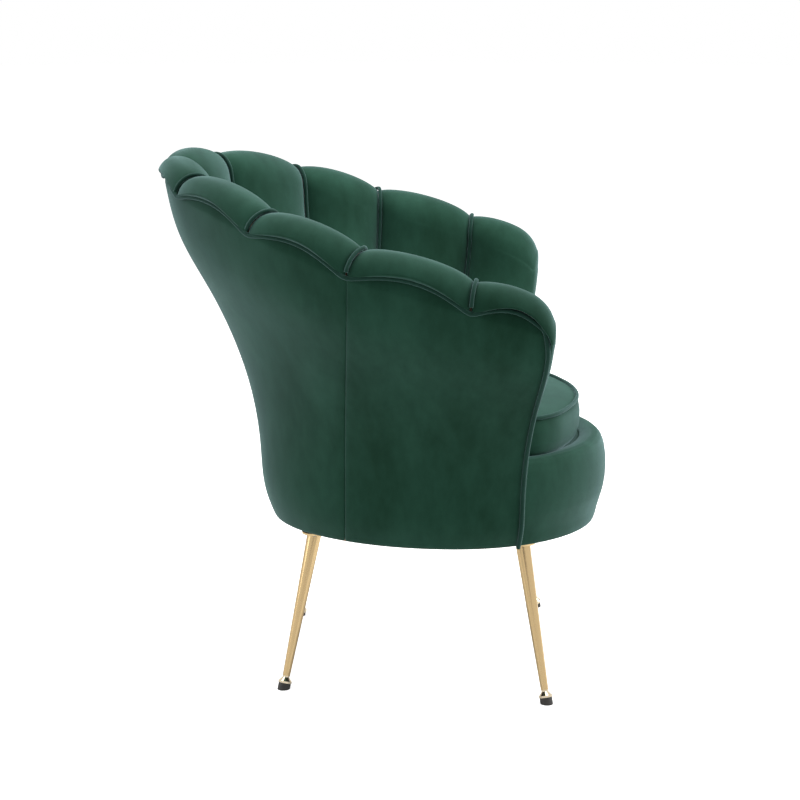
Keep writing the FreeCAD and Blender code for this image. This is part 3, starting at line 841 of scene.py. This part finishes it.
@dataclass
class Finishes:
    """The chair's finishes, each built once."""

    velvet: Material
    piping: Material
    gold: Material
    nickel: Material
    steel: Material
    plastic: Material
    timber: Material
    webbing: Material
    lining: Material

    @classmethod
    def build(cls) -> "Finishes":
        """Builds every finish."""
        return cls(
            velvet=Velvet().material(),
            piping=Velvet("velvet_piping", (0.005, 0.028, 0.018), (0.012, 0.048, 0.034)).material(),
            gold=PolishedMetal("pale_gold", (0.60, 0.44, 0.23), 0.20).material(),
            nickel=PolishedMetal("gold_nickel", (0.70, 0.60, 0.44), 0.12).material(),
            steel=PolishedMetal("zinc_steel", (0.55, 0.55, 0.54), 0.32).material(),
            plastic=Moulded().material(),
            timber=Timber().material(),
            webbing=WovenStrap("elastic_webbing", (0.10, 0.085, 0.065)).material(),
            lining=WovenStrap("black_lining", (0.016, 0.016, 0.017), 1400.0).material())


def wear(piece: Piece, material: Material) -> Piece:
    """Gives a piece one finish."""
    piece.data.materials.clear()
    piece.data.materials.append(material)
    return piece


def dress_node(name: str, material: Material) -> None:
    """Gives a rigid node its finish."""
    piece = frame["nodes"][name]
    if not piece.material_slots:
        piece.data.materials.append(material)
    for slot in piece.material_slots:
        slot.material = material
    LOG.info("dressed %s", name)


class Filling(Enum):
    """How tightly a piece is stuffed."""

    FIRM = 0.75
    THIN = 0.3


def settle(piece: Piece, node: str, body: str, material: Material) -> Piece:
    """Gives a finished piece its body, slot and finish, and hides the node that it stands for.

    Args:
        piece: The finished piece.
        node: The node that it stands for.
        body: The body that it rides on.
        material: Its finish.

    Returns:
        The piece.
    """
    wear(piece, material)
    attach(piece, body)
    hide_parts(node)
    LOG.info("%s: %d faces", piece.name, len(piece.data.polygons))
    return piece


@dataclass(eq=False)
class Upholstery:
    """What the soft parts of the chair share."""

    finishes: Finishes
    form: ShellForm = FORM
    body: str = "chair_body"

    def stuffed(self, piece: Piece, node: str, filling: Filling = Filling.FIRM) -> None:
        """Settles a padded piece in velvet."""
        settle(piece, node, self.body, self.finishes.velvet)

    def piped(self, piece: Piece, node: str) -> None:
        """Settles a welt."""
        settle(piece, node, self.body, self.finishes.piping)

    @staticmethod
    def both(left: Piece, node: str, put: Callable[[Piece, str], None]) -> None:
        """Puts a piece of the left side and its copy on the right in place."""
        name = left.name
        right = mirrored(left, name + "_right")
        left.name = left.data.name = name + "_left"
        for piece, side in ((left, Side.LEFT), (right, Side.RIGHT)):
            put(piece, node % side.word)


def bulge(x: float) -> float:
    """Share of a channel's swell from its middle at 0 to a seam at 1: a tight arc."""
    return 0.55 * (1 - x * x) + 0.45 * math.sqrt(max(0.0, 1 - x ** 2.6))


def face_along(piece: Piece) -> None:
    """Makes the faces of a joined sheet agree, on the side most of them already show."""
    before = sum(f.normal.y for f in piece.data.polygons)
    face_outwards(piece)
    if sum(f.normal.y for f in piece.data.polygons) * before < 0:
        turn_inside_out(piece)


def face_front(piece: Piece) -> None:
    """Turns a sheet's faces to the front of the chair."""
    if sum(f.normal.y for f in piece.data.polygons) > 0:
        turn_inside_out(piece)


@dataclass(eq=False)
class ChannelBack(Upholstery):
    """Ten padded channels up the inside of the shell and over its rim, with welts in their seams."""

    columns: int = 22
    arm_columns: int = 30
    cap_columns: int = 20
    rows_up: int = 44
    rows_over: int = 13
    deck_gap: float = 0.6
    board_gap: float = 0.3
    seam_gap: float = 0.006
    end_gap: float = 1.0
    arm_end: float = 0.02
    arm_crown: float = 0.55
    cover_end: float = 0.015
    cover_top: float = 0.94
    cap_turn: float = 0.82
    cap_merge: float = 0.0004
    front_reach: float = 11.0
    front_droop: float = 17.0
    droop_depth: float = 62.0
    droop_steps: float = 0.34
    wall: float = 4.0
    crisp: float = 75.0
    welt_radius: float = 3.0
    welt_rise: float = 0.6
    welt_start: float = 0.01
    welt_end: float = 18.0
    welt_points: int = 90
    stuffing: Stuffing = Stuffing(pressure=2.5, cap=2.0)

    @property
    def rows(self) -> int:
        """Rows of a channel: up the inner side, up to the crest and down to the outer welt."""
        return self.rows_up + 2 * self.rows_over

    def level(self, t: float, v: float, last: float) -> float:
        """Height s for row share v: up the inner side, then over the rim to the last height."""
        low = self.form.inner_level(t, self.form.deck_top + self.deck_gap)
        k = v * self.rows
        knee = 1 + (self.form.edge_rest + self.end_gap) / HALF_TURN
        if k <= self.rows_up:
            return low + (knee - low) * k / self.rows_up
        if k <= self.rows_up + self.rows_over:
            return knee + (CREST - knee) * (k - self.rows_up) / self.rows_over
        return CREST + (last - CREST) * (k - self.rows_up - self.rows_over) / self.rows_over

    def last_level(self, t: float) -> float:
        """Height at which a channel ends inside the outer welt."""
        return 2 - (self.form.edge_turn(min(t, self.form.end - 0.0001)) + self.end_gap) / HALF_TURN

    def arm_share(self, u: float) -> float:
        """Share of the swell across the channel at an arm, from its seam to the front."""
        if u < self.arm_crown:
            return bulge(1 - u / self.arm_crown)
        return 1 - 0.55 * ((u - self.arm_crown) / (1 - self.arm_crown)) ** 2

    def drooped(self, p: Vector, t: float) -> Vector:
        """Point of the arm's channel, let down where its top rounds over to the front."""
        x = (t - (self.form.end - self.arm_end - self.droop_steps)) / self.droop_steps
        if x <= 0:
            return p
        height = p.z - (self.form.crest_line(t).z - self.droop_depth)
        drop = self.front_droop * (1 - math.sqrt(max(0.0, 1 - min(1.0, x) ** 2)))
        return p - UP * (drop * ease(height / self.droop_depth))

    def swollen(self, t: float, s: float, share: float) -> Vector:
        """Point of a skin that has a share of the swell."""
        return self.form.core_at(t, s, self.form.seam_pad + self.form.swell(s) * share)

    def skin_point(self, first: float, u: float, v: float, arm: bool = False, shown: bool = True) -> Vector:
        """Point of a channel's skin, or of its back."""
        g = self.seam_gap
        t = first + g + (1 - g - (self.arm_end if arm else g)) * u
        s = self.level(t, v, self.last_level(t))
        if not shown:
            return self.form.core_at(t, s, self.board_gap)
        if arm:
            return self.drooped(self.swollen(t, s, self.arm_share(t - first)), t)
        return self.swollen(t, s, bulge(abs(2 * u - 1)))

    def channel(self, index: int) -> Piece:
        """One channel between two seams, stuffed and closed at the back."""
        first, name = float(index), "channel_%d" % (index + 1)
        front = sheet_over(name, partial(self.skin_point, first), self.columns, self.rows)
        self.look_out(front, first)
        self.stuffing.fill(front, border(front))
        even_out(front, border(front))
        behind = partial(self.skin_point, first, shown=False)
        back = sheet_over(name + "_back", behind, self.columns, self.rows)
        return shade(subdivide(back_up(front, back, name)), self.crisp)

    def look_out(self, front: Piece, first: float) -> None:
        """Turns a skin's faces to the seat."""
        inward = self.form.normal("core", first + 0.5, 0.6)
        rim = self.form.crest_line(first + 0.5).z * MM - 0.06
        if sum(f.normal.dot(inward) for f in front.data.polygons if f.center.z < rim) < 0:
            turn_inside_out(front)

    def cap_point(self, u: float, v: float) -> Vector:
        """Point of the rounded front of an arm, u from the outer cover to the inner side, v upwards."""
        form, end = self.form, self.form.end
        k = v * (self.rows_up + self.rows_over)
        t = end - self.arm_end
        last = self.last_level(t)
        s = self.level(t, k / self.rows, last)
        share = self.arm_share(t - (end - 1))
        inner = self.drooped(self.swollen(t, s, share), t)
        if k <= self.rows_up:
            h = min(self.cover_top, form.outer_level(end, form.core(t, s).z))
            rim = self.drooped(self.swollen(t, last, share), t)
            blend = ease((k / self.rows_up - self.cap_turn) / (1 - self.cap_turn))
            outer = form.cover_at(end - self.cover_end, h, self.board_gap).lerp(rim, blend)
        else:
            knee = self.level(t, self.rows_up / self.rows, 2.0)
            across = CREST + (last - CREST) * (CREST - s) / (CREST - knee)
            outer = self.drooped(self.swollen(t, across, share), t)
        width = math.sqrt(max(0.0, 1 - (2 * u - 1) ** 2))
        return outer.lerp(inner, u) + form.ahead() * (self.front_reach * CAP_DEPTH(v) * width)

    def arm_channel(self) -> Piece:
        """The channel at an arm with the arm's rounded front, in one skin."""
        first, name = self.form.end - 1, "arm_channel"
        front = sheet_over(name, partial(self.skin_point, first, arm=True), self.arm_columns, self.rows)
        self.look_out(front, first)
        cap = sheet_over("arm_front", self.cap_point, self.cap_columns, self.rows_up + self.rows_over)
        face_front(cap)
        skin = merge(join([front, cap], name), self.cap_merge)
        face_along(skin)
        edge = border(skin)
        self.stuffing.fill(skin, edge)
        even_out(skin, edge)
        return shade(subdivide(add_wall(skin, self.wall)), self.crisp)

    def seam_welt(self, index: int, name: str) -> Piece:
        """Piping in a seam."""
        t, form = float(index), self.form
        low = form.inner_level(t, form.deck_top + self.deck_gap) + self.welt_start
        last = 2 - self.welt_end / HALF_TURN
        path = []
        for j in range(self.welt_points + 1):
            s = low + (last - low) * j / self.welt_points
            width = (form.core(t + 0.5, s) - form.core(t - 0.5, s)).length
            slope = math.atan(4 * form.swell(s) / width)
            lift = form.seam_pad + (self.welt_radius + self.welt_rise) / math.cos(slope)
            path.append(form.core_at(t, s, lift))
        return tube_along(name, path, self.welt_radius, wobble=0.06)

    def build(self) -> None:
        """Builds every channel and welt on both sides."""
        count = int(self.form.end)
        for i in range(count):
            pad = self.arm_channel() if i == count - 1 else self.channel(i)
            self.both(pad, "channel_pad_%s_" + str(i + 1), self.stuffed)
        self.piped(self.seam_welt(0, "welt_centre"), "channel_welt_centre")
        for i in range(1, count):
            self.both(self.seam_welt(i, "welt_%d" % i), "channel_welt_%s_" + str(i), self.piped)


CAP_DEPTH = natural((0.0, 0.12, 0.45, 0.77, 0.9, 1.0), (0.5, 0.45, 0.6, 0.7, 0.4, 0.0))


@dataclass(eq=False)
class OuterCover(Upholstery):
    """Outside of the shell in three panels, with the welt round its upper edge."""

    split: float = 3.0
    seam_half: float = -0.003
    seam_dip: float = 1.4
    seam_fade: float = 3.5
    end_gap: float = 0.02
    top_turn: float = 3.0
    straight: float = 0.93
    thickness: float = 2.5
    foot_thickness: float = 1.5
    foot_reach: float = 7.0
    foot_rise: float = 12.0
    foot_below: float = 0.4
    foot_depth: float = 8.0
    crisp: float = 60.0
    welt_radius: float = 3.5
    welt_lift: float = 4.3
    welt_step: float = 0.02
    welt_turn: float = 0.1
    front_step: float = 0.045

    def panel_point(self, t0: float, t1: float, u: float, v: float) -> Vector:
        """Point of a panel between two seam steps."""
        form, straight = self.form, self.straight
        t = t0 + (t1 - t0) * u
        top = 1 + (form.edge_turn(t) + self.top_turn) / HALF_TURN
        s = straight * v / 0.8 if v < 0.8 else straight + (top - straight) * (v - 0.8) / 0.2
        near = min(u, 1 - u) * (form.cover(t1, 0.5) - form.cover(t0, 0.5)).length
        tuck = self.seam_dip * math.exp(-near / self.seam_fade) * (1.0 - 0.7 * ease((v - 0.92) / 0.08))
        pull = 0.5 * noise.noise(Vector((t * 2.1, s * 3.0, 7.0))) * math.sin(math.pi * min(1.0, v * 1.02))
        return form.cover_at(t, s, tuck + pull * 0.8)

    def panel(self, name: str, t0: float, t1: float, columns: int, rows: int = 70) -> Piece:
        """One panel of the cover with its thin wadding."""
        front = sheet_over(name, partial(self.panel_point, t0, t1), columns, rows, Vector((0.0, 0.0, 0.45)))
        return shade(subdivide(add_wall(front, self.thickness)), self.crisp)

    def foot_point(self, u: float, v: float) -> Vector:
        """Point of the cover turned round the foot of an arm, u inwards, v upwards."""
        form, t = self.form, self.form.end - self.end_gap
        z = form.underside - self.foot_below + (form.deck_top + self.foot_rise - form.underside) * v
        outer = form.cover_at(t, max(0.0, form.outer_level(form.end, z)), 0.0)
        inner = form.core_at(t, max(0.0, form.inner_level(form.end, z)), self.foot_depth)
        reach = self.foot_reach * math.sin(math.pi * (0.08 + 0.84 * u)) ** 0.5
        p = outer.lerp(inner, u) + form.ahead() * reach
        return Vector((p.x, p.y, z))

    def arm_foot(self) -> Piece:
        """The cover turned round the front of an arm's foot."""
        sheet = sheet_over("arm_foot", self.foot_point, 12, 30)
        face_front(sheet)
        return shade(subdivide(add_wall(sheet, self.foot_thickness)), self.crisp)

    def welt_path(self) -> list[Vector]:
        """Path of the outer welt: up one arm, round the scallops and down the other arm."""
        form, out = self.form, -self.welt_lift
        heights = [0.004 + 0.946 * k / 60 for k in range(61)]
        arm, turn = form.end - self.front_step, form.end - self.welt_turn
        path = [form.cover_at(-arm, h, out) for h in heights]
        count = int(round(2 * turn / self.welt_step))
        for j in range(count + 1):
            t = -turn + 2 * turn * j / count
            path.append(form.cover_at(t, 1 + self.soft_turn(t) / HALF_TURN, out))
        path += [form.cover_at(arm, h, out) for h in reversed(heights)]
        return smooth_path(path, 3)

    def soft_turn(self, t: float, reach: float = 0.03) -> float:
        """Turn of the welt over the rim, eased at the seams as a bent cord is."""
        return sum(self.form.edge_turn(t + d) for d in (-reach, 0.0, reach)) / 3

    def build(self) -> None:
        """Builds the panels and the welt."""
        thin = partial(self.stuffed, filling=Filling.THIN)
        edge = self.split - self.seam_half
        thin(self.panel("outer_back", -edge, edge, 150), "outer_back_panel")
        side = self.panel("outer_side", self.split + self.seam_half, self.form.end - self.end_gap, 54)
        self.both(join([side, self.arm_foot()], "outer_side"), "outer_side_panel_%s", thin)
        self.piped(tube_along("outer_welt", self.welt_path(), self.welt_radius, wobble=0.07), "rim_welt")


def smooth_path(path: list[Vector], rounds: int) -> list[Vector]:
    """Eases a path by averaging neighbours, with its ends kept."""
    for _ in range(rounds):
        inner = [(path[i - 1] + path[i] * 2 + path[i + 1]) / 4 for i in range(1, len(path) - 1)]
        path = [path[0]] + inner + [path[-1]]
    return path


@dataclass(eq=False)
class SeatCushion(Upholstery):
    """Loose seat cushion: straight boxed sides, a crowned top and a welt round its upper edge."""

    body: str = "loose_cushion"
    bottom: float = 368.7
    height: float = 63.0
    crown: float = 17.0
    front_y: float = -311.0
    corner: tuple[float, float] = (191.0, -247.0)
    side: tuple[float, float] = (182.0, -60.0)
    back_y: float = 126.0
    foot_share: float = 0.06
    side_share: float = 0.36
    foot_inset: float = 9.0
    top_inset: float = 5.6
    around: int = 168
    rows: int = 64
    welt_radius: float = 3.2
    welt_out: float = 1.6
    welt_up: float = 0.6
    welt_points: int = 240
    stuffing: Stuffing = Stuffing(pressure=2.0, cap=2.5)

    @property
    def centre(self) -> Vector:
        """Middle of the cushion's foot."""
        return Vector((0.0, (self.front_y + self.back_y) / 2, self.bottom))

    @lru_cache(maxsize=None)
    def outline(self) -> Callable[[float], Vector]:
        """Outline as a closed smooth curve over 0 to 1, from the middle of the back by the left side."""
        (sx, sy), (cx, cy) = self.side, self.corner
        deep, rise = self.back_y - sy, cy - self.front_y
        turns = [math.radians(a) for a in (0, 18, 36, 54, 72)]
        half = [(sx * math.sin(a), sy + deep * math.cos(a)) for a in turns]
        half += [(sx + (cx - sx) * a, sy + (cy - sy) * b) for a, b in ((0, 0), (0.4, 0.33), (0.7, 0.66))]
        half += [(cx - 1.0, cy + 28.0), (cx - 12.0, cy + 2.0)]
        half += [(cx * k, self.front_y + rise * k * k) for k in (0.8, 0.6, 0.4, 0.2)]
        half.append((0.0, self.front_y))
        loop = half + [(-x, y) for x, y in half[-2:0:-1]]
        wide = loop[-3:] + loop + loop[:4]
        places = [0.0]
        for p, q in zip(wide, wide[1:]):
            places.append(places[-1] + math.hypot(q[0] - p[0], q[1] - p[1]))
        first, total = places[3], places[3 + len(loop)] - places[3]
        fx, fy = (natural(places, [p[axis] for p in wide]) for axis in (0, 1))
        return lambda k: Vector((fx(first + total * k), fy(first + total * k), 0.0))

    def ring(self, k: float, z: float, inset: float) -> Vector:
        """Point round the cushion at a height, drawn in by an inset."""
        p, c = self.outline()(k), self.centre
        share = (self.side[0] - inset) / self.side[0]
        return Vector((p.x * share, c.y + (p.y - c.y) * share, z))

    def profile(self, v: float) -> tuple[float, float]:
        """Height and inset up the side and over the crown for v from 0 to 1."""
        foot, side, full = self.foot_share, self.side_share, self.side[0]
        if v < foot:
            return self.bottom, full * (1 - v / foot) + self.foot_inset * (v / foot)
        if v < foot + side:
            k = (v - foot) / side
            inset = ramp(k, (0.0, 0.12, 0.35, 0.65, 0.9, 1.0),
                         (self.foot_inset, 3.8, 0.8, 0.3, 2.6, self.top_inset))
            return self.bottom + self.height * k, inset
        k = (v - foot - side) / (1 - foot - side)
        inset = self.top_inset + (full - self.top_inset) * k
        return self.bottom + self.height + self.crown * (1 - (1 - min(1.0, k * 1.1)) ** 3.0), inset

    def filled(self) -> Piece:
        """The stuffed cushion."""
        piece = sheet_over("seat_cushion_filled", lambda u, v: self.ring(u, *self.profile(v)),
                           self.around, self.rows)
        merge(piece, 0.0002)
        face_outwards(piece)
        top, low = (self.bottom + self.height) * MM, self.bottom * MM + 0.003
        held = [v.index for v in piece.data.vertices if v.co.z < low or abs(v.co.z - top) < 0.0012]
        self.stuffing.fill(piece, held)
        return shade(subdivide(piece), 60.0)

    def welt(self) -> Piece:
        """Piping round the cushion's upper edge."""
        count, top = self.welt_points, self.bottom + self.height
        path = []
        for j in range(count):
            p, q = (self.ring((j + step) / count, top, self.top_inset) for step in (0, 1))
            n = (q - p).normalized().cross(UP)
            n = n if n.dot(p - self.centre) > 0 else -n
            path.append(p + n * self.welt_out + UP * self.welt_up)
        return tube_along("cushion_welt", path, self.welt_radius, closed=True, wobble=0.06)

    def build(self) -> None:
        """Builds the cushion and its welt."""
        self.stuffed(self.filled(), "seat_cushion")
        self.piped(self.welt(), "seat_cushion_welt")


@dataclass(eq=False)
class SeatBase(Upholstery):
    """Padded apron round the front of the seat, the deck under the cushion and the lining below."""

    inner: float = 214.0
    half_angle: float = 66.4
    profile: tuple[tuple[float, float], ...] = (
        (226.6, 236.4), (229.6, 246.0), (232.6, 259.0), (236.4, 272.0), (241.0, 288.0), (243.6, 305.0),
        (244.3, 322.0), (243.6, 339.0), (240.8, 356.0), (236.2, 367.5), (230.0, 373.0), (222.0, 374.6),
        (212.0, 373.0), (199.0, 369.0))
    columns: int = 110
    rows: int = 39
    deck_voxel: float = 0.0045
    stuffing: Stuffing = Stuffing(pressure=2.0, cap=2.0)

    def apron_point(self, u: float, v: float, shown: bool = True) -> Vector:
        """Point of the apron, u round the front, v from its lower to its upper edge."""
        form = self.form
        a = math.radians(self.half_angle * (2 * u - 1))
        r, z = self.inner, form.underside + (form.deck_top - form.underside) * v
        if shown:
            k = v * (len(self.profile) - 1)
            i = min(int(k), len(self.profile) - 2)
            (r0, z0), (r1, z1) = self.profile[i], self.profile[i + 1]
            r, z = r0 + (r1 - r0) * (k - i), z0 + (z1 - z0) * (k - i)
        return Vector((r * math.sin(a), form.base_centre_y - r * math.cos(a), z))

    def apron(self) -> Piece:
        """The padded apron."""
        name, size = "front_apron", (self.columns, self.rows)
        front = sheet_over(name, self.apron_point, *size, Vector((0.0, self.form.base_centre_y * MM, 0.3)))
        self.stuffing.fill(front, border(front))
        back = sheet_over("apron_back", partial(self.apron_point, shown=False), *size)
        return shade(subdivide(back_up(front, back, name)), 75.0)

    @staticmethod
    def copy_node(node: str, name: str, size: float) -> Piece:
        """Soft copy of a slab's node with rounded edges."""
        source = frame["nodes"][node]
        piece = source.copy()
        piece.data = source.data.copy()
        piece.name = piece.data.name = name
        bpy.context.scene.collection.objects.link(piece)
        piece.parent = None
        piece.matrix_world = Matrix.Identity(4)
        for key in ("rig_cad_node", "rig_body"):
            if key in piece:
                del piece[key]
        merge(piece, 0.00002)
        apply_modifier(piece, "REMESH", mode="VOXEL", voxel_size=size)
        apply_modifier(piece, "SMOOTH", factor=0.5, iterations=6)
        return shade(piece, 60.0)

    def build(self) -> None:
        """Builds the apron, deck and lining."""
        self.stuffed(self.apron(), "seat_apron")
        self.stuffed(self.copy_node("deck_pad", "seat_deck", self.deck_voxel), "deck_pad", Filling.THIN)
        dress_node("dust_cover", self.finishes.lining)
        for name in ("webbing_long", "webbing_cross"):
            dress_node(name, self.finishes.webbing)


@dataclass
class TimberFrame:
    """Board, rails and posts inside the upholstery."""

    finishes: Finishes

    def build(self) -> None:
        """Dresses the hidden timber."""
        for name in frame["nodes"]:
            if any(word in name for word in ("board", "rail", "post")):
                dress_node(name, self.finishes.timber)


@dataclass
class Legs:
    """Four tapered metal legs on plates, with screw-in glides."""

    finishes: Finishes
    crisp: float = 30.0

    def build(self) -> None:
        """Dresses the legs and their fittings."""
        looks = self.finishes
        for name, piece in frame["nodes"].items():
            if name in ("plate_screws", "leg_bushes"):
                dress_node(name, looks.steel)
            elif name.startswith("glide_pad"):
                dress_node(name, looks.plastic)
            elif name.startswith(("leg_", "glide_")):
                dress_node(name, looks.gold if name.startswith("leg_") else looks.nickel)
                shade(piece, self.crisp)


@dataclass
class Studio:
    """White floor and backdrop, plain soft lamps and the camera of the photograph."""

    yaw: float = 1.3
    elevation: float = 12.4
    distance: float = 3.6
    focal_pixels: float = 2252.9
    picture: float = 800.0
    sensor: float = 36.0
    aim: Color = (0.0, -0.024, 0.4204)
    lamp_aim: Color = (0.0, 0.0, 0.4)
    world_level: float = 0.30
    floor_glow: float = 0.78
    floor_radius: float = 14.0
    card_corners: tuple[Color, ...] = ((-1.6, -0.03, 0.46), (-1.6, 0.92, 0.86), (-1.6, -0.98, 0.86))

    def build(self) -> None:
        """Builds the set."""
        bpy.context.scene.view_settings.view_transform = "Standard"
        self.floor()
        self.world()
        self.lamp("key_softbox", (0.3, -2.9, 2.2), 1.8, 98.0)
        self.lamp("top_softbox", (0.2, 0.2, 3.0), 2.4, 88.0)
        self.lamp("back_softbox", (-0.6, 2.8, 1.5), 1.6, 22.0)
        self.card()
        self.camera()

    @staticmethod
    def disc(name: str, corners: int, radius: float, material: Material) -> Piece:
        """Flat filled disc in the middle of the floor."""
        deselect()
        bpy.ops.mesh.primitive_circle_add(vertices=corners, radius=radius, fill_type="NGON")
        piece = bpy.context.object
        piece.name = name
        return wear(piece, material)

    def card(self) -> None:
        """Dark card beside the camera that only shows as a streak in the polished legs."""
        black = new_material("card_black", {"Base Color": (0.02, 0.014, 0.01, 1.0), "Roughness": 1.0})[0]
        card = self.disc("dark_card", len(self.card_corners), 1.0, black)
        for v, corner in zip(card.data.vertices, self.card_corners):
            v.co = corner
        card.visible_camera = card.visible_diffuse = card.visible_shadow = False

    def floor(self) -> None:
        """Pale floor that runs out of sight."""
        mat, tree, shader, _ = new_material("studio_white", {
            "Base Color": (0.93, 0.93, 0.93, 1.0), "Roughness": 0.9, "Specular IOR Level": 0.0,
            "Emission Color": (1.0, 1.0, 1.0, 1.0)})
        seen = add_node(tree, "LightPath").outputs["Is Camera Ray"]
        glow = add_node(tree, "Math", {0: seen}, {1: self.floor_glow}, operation="MULTIPLY")
        tree.links.new(glow.outputs[0], shader.inputs["Emission Strength"])
        self.disc("studio_floor", 64, self.floor_radius, mat)

    def world(self) -> None:
        """White world: full to the camera and in reflections, plainer as light."""
        world = bpy.data.worlds.new("studio")
        bpy.context.scene.world = world
        world.use_nodes = True
        tree = world.node_tree
        rays = add_node(tree, "LightPath").outputs
        seen = add_math(tree, "ADD", rays["Is Camera Ray"], rays["Is Glossy Ray"], use_clamp=True)
        level = add_range(tree, seen, To_Min=self.world_level, To_Max=1.0)
        set_inputs(tree, tree.nodes["Background"], {"Strength": level}, {"Color": (1.0, 1.0, 1.0, 1.0)})

    def lamp(self, name: str, place: Color, size: float, power: float) -> None:
        """Soft square lamp that looks at the chair."""
        data = bpy.data.lights.new(name, "AREA")
        data.shape, data.size, data.size_y, data.energy = "RECTANGLE", size, size, power
        self.hang(name, data, Vector(place), Vector(self.lamp_aim) - Vector(place))

    @staticmethod
    def hang(name: str, data: bpy.types.ID, place: Vector, look: Vector) -> Piece:
        """Puts a lamp or camera in its place, looking one way."""
        thing = bpy.data.objects.new(name, data)
        bpy.context.scene.collection.objects.link(thing)
        thing.location = place
        thing.rotation_euler = look.to_track_quat("-Z", "Y").to_euler()
        return thing

    def camera(self) -> None:
        """Camera at the photograph's place, with the photograph's lens."""
        data = bpy.data.cameras.new("camera")
        data.sensor_width = self.sensor
        data.lens = self.focal_pixels / self.picture * self.sensor
        a, e = math.radians(self.yaw), math.radians(self.elevation)
        away = Vector((-math.cos(a) * math.cos(e), -math.sin(a) * math.cos(e), math.sin(e)))
        bpy.context.scene.camera = self.hang("camera", data, Vector(self.aim) + away * self.distance, -away)


def main() -> None:
    """Builds the chair and the set."""
    logging.basicConfig(level=logging.INFO, format="%(message)s")
    finishes = Finishes.build()
    for part in (TimberFrame(finishes), Legs(finishes), SeatBase(finishes), SeatCushion(finishes),
                 ChannelBack(finishes), OuterCover(finishes), Studio()):
        part.build()
        LOG.info("built %s", type(part).__name__)


if __name__ == "__main__":
    main()
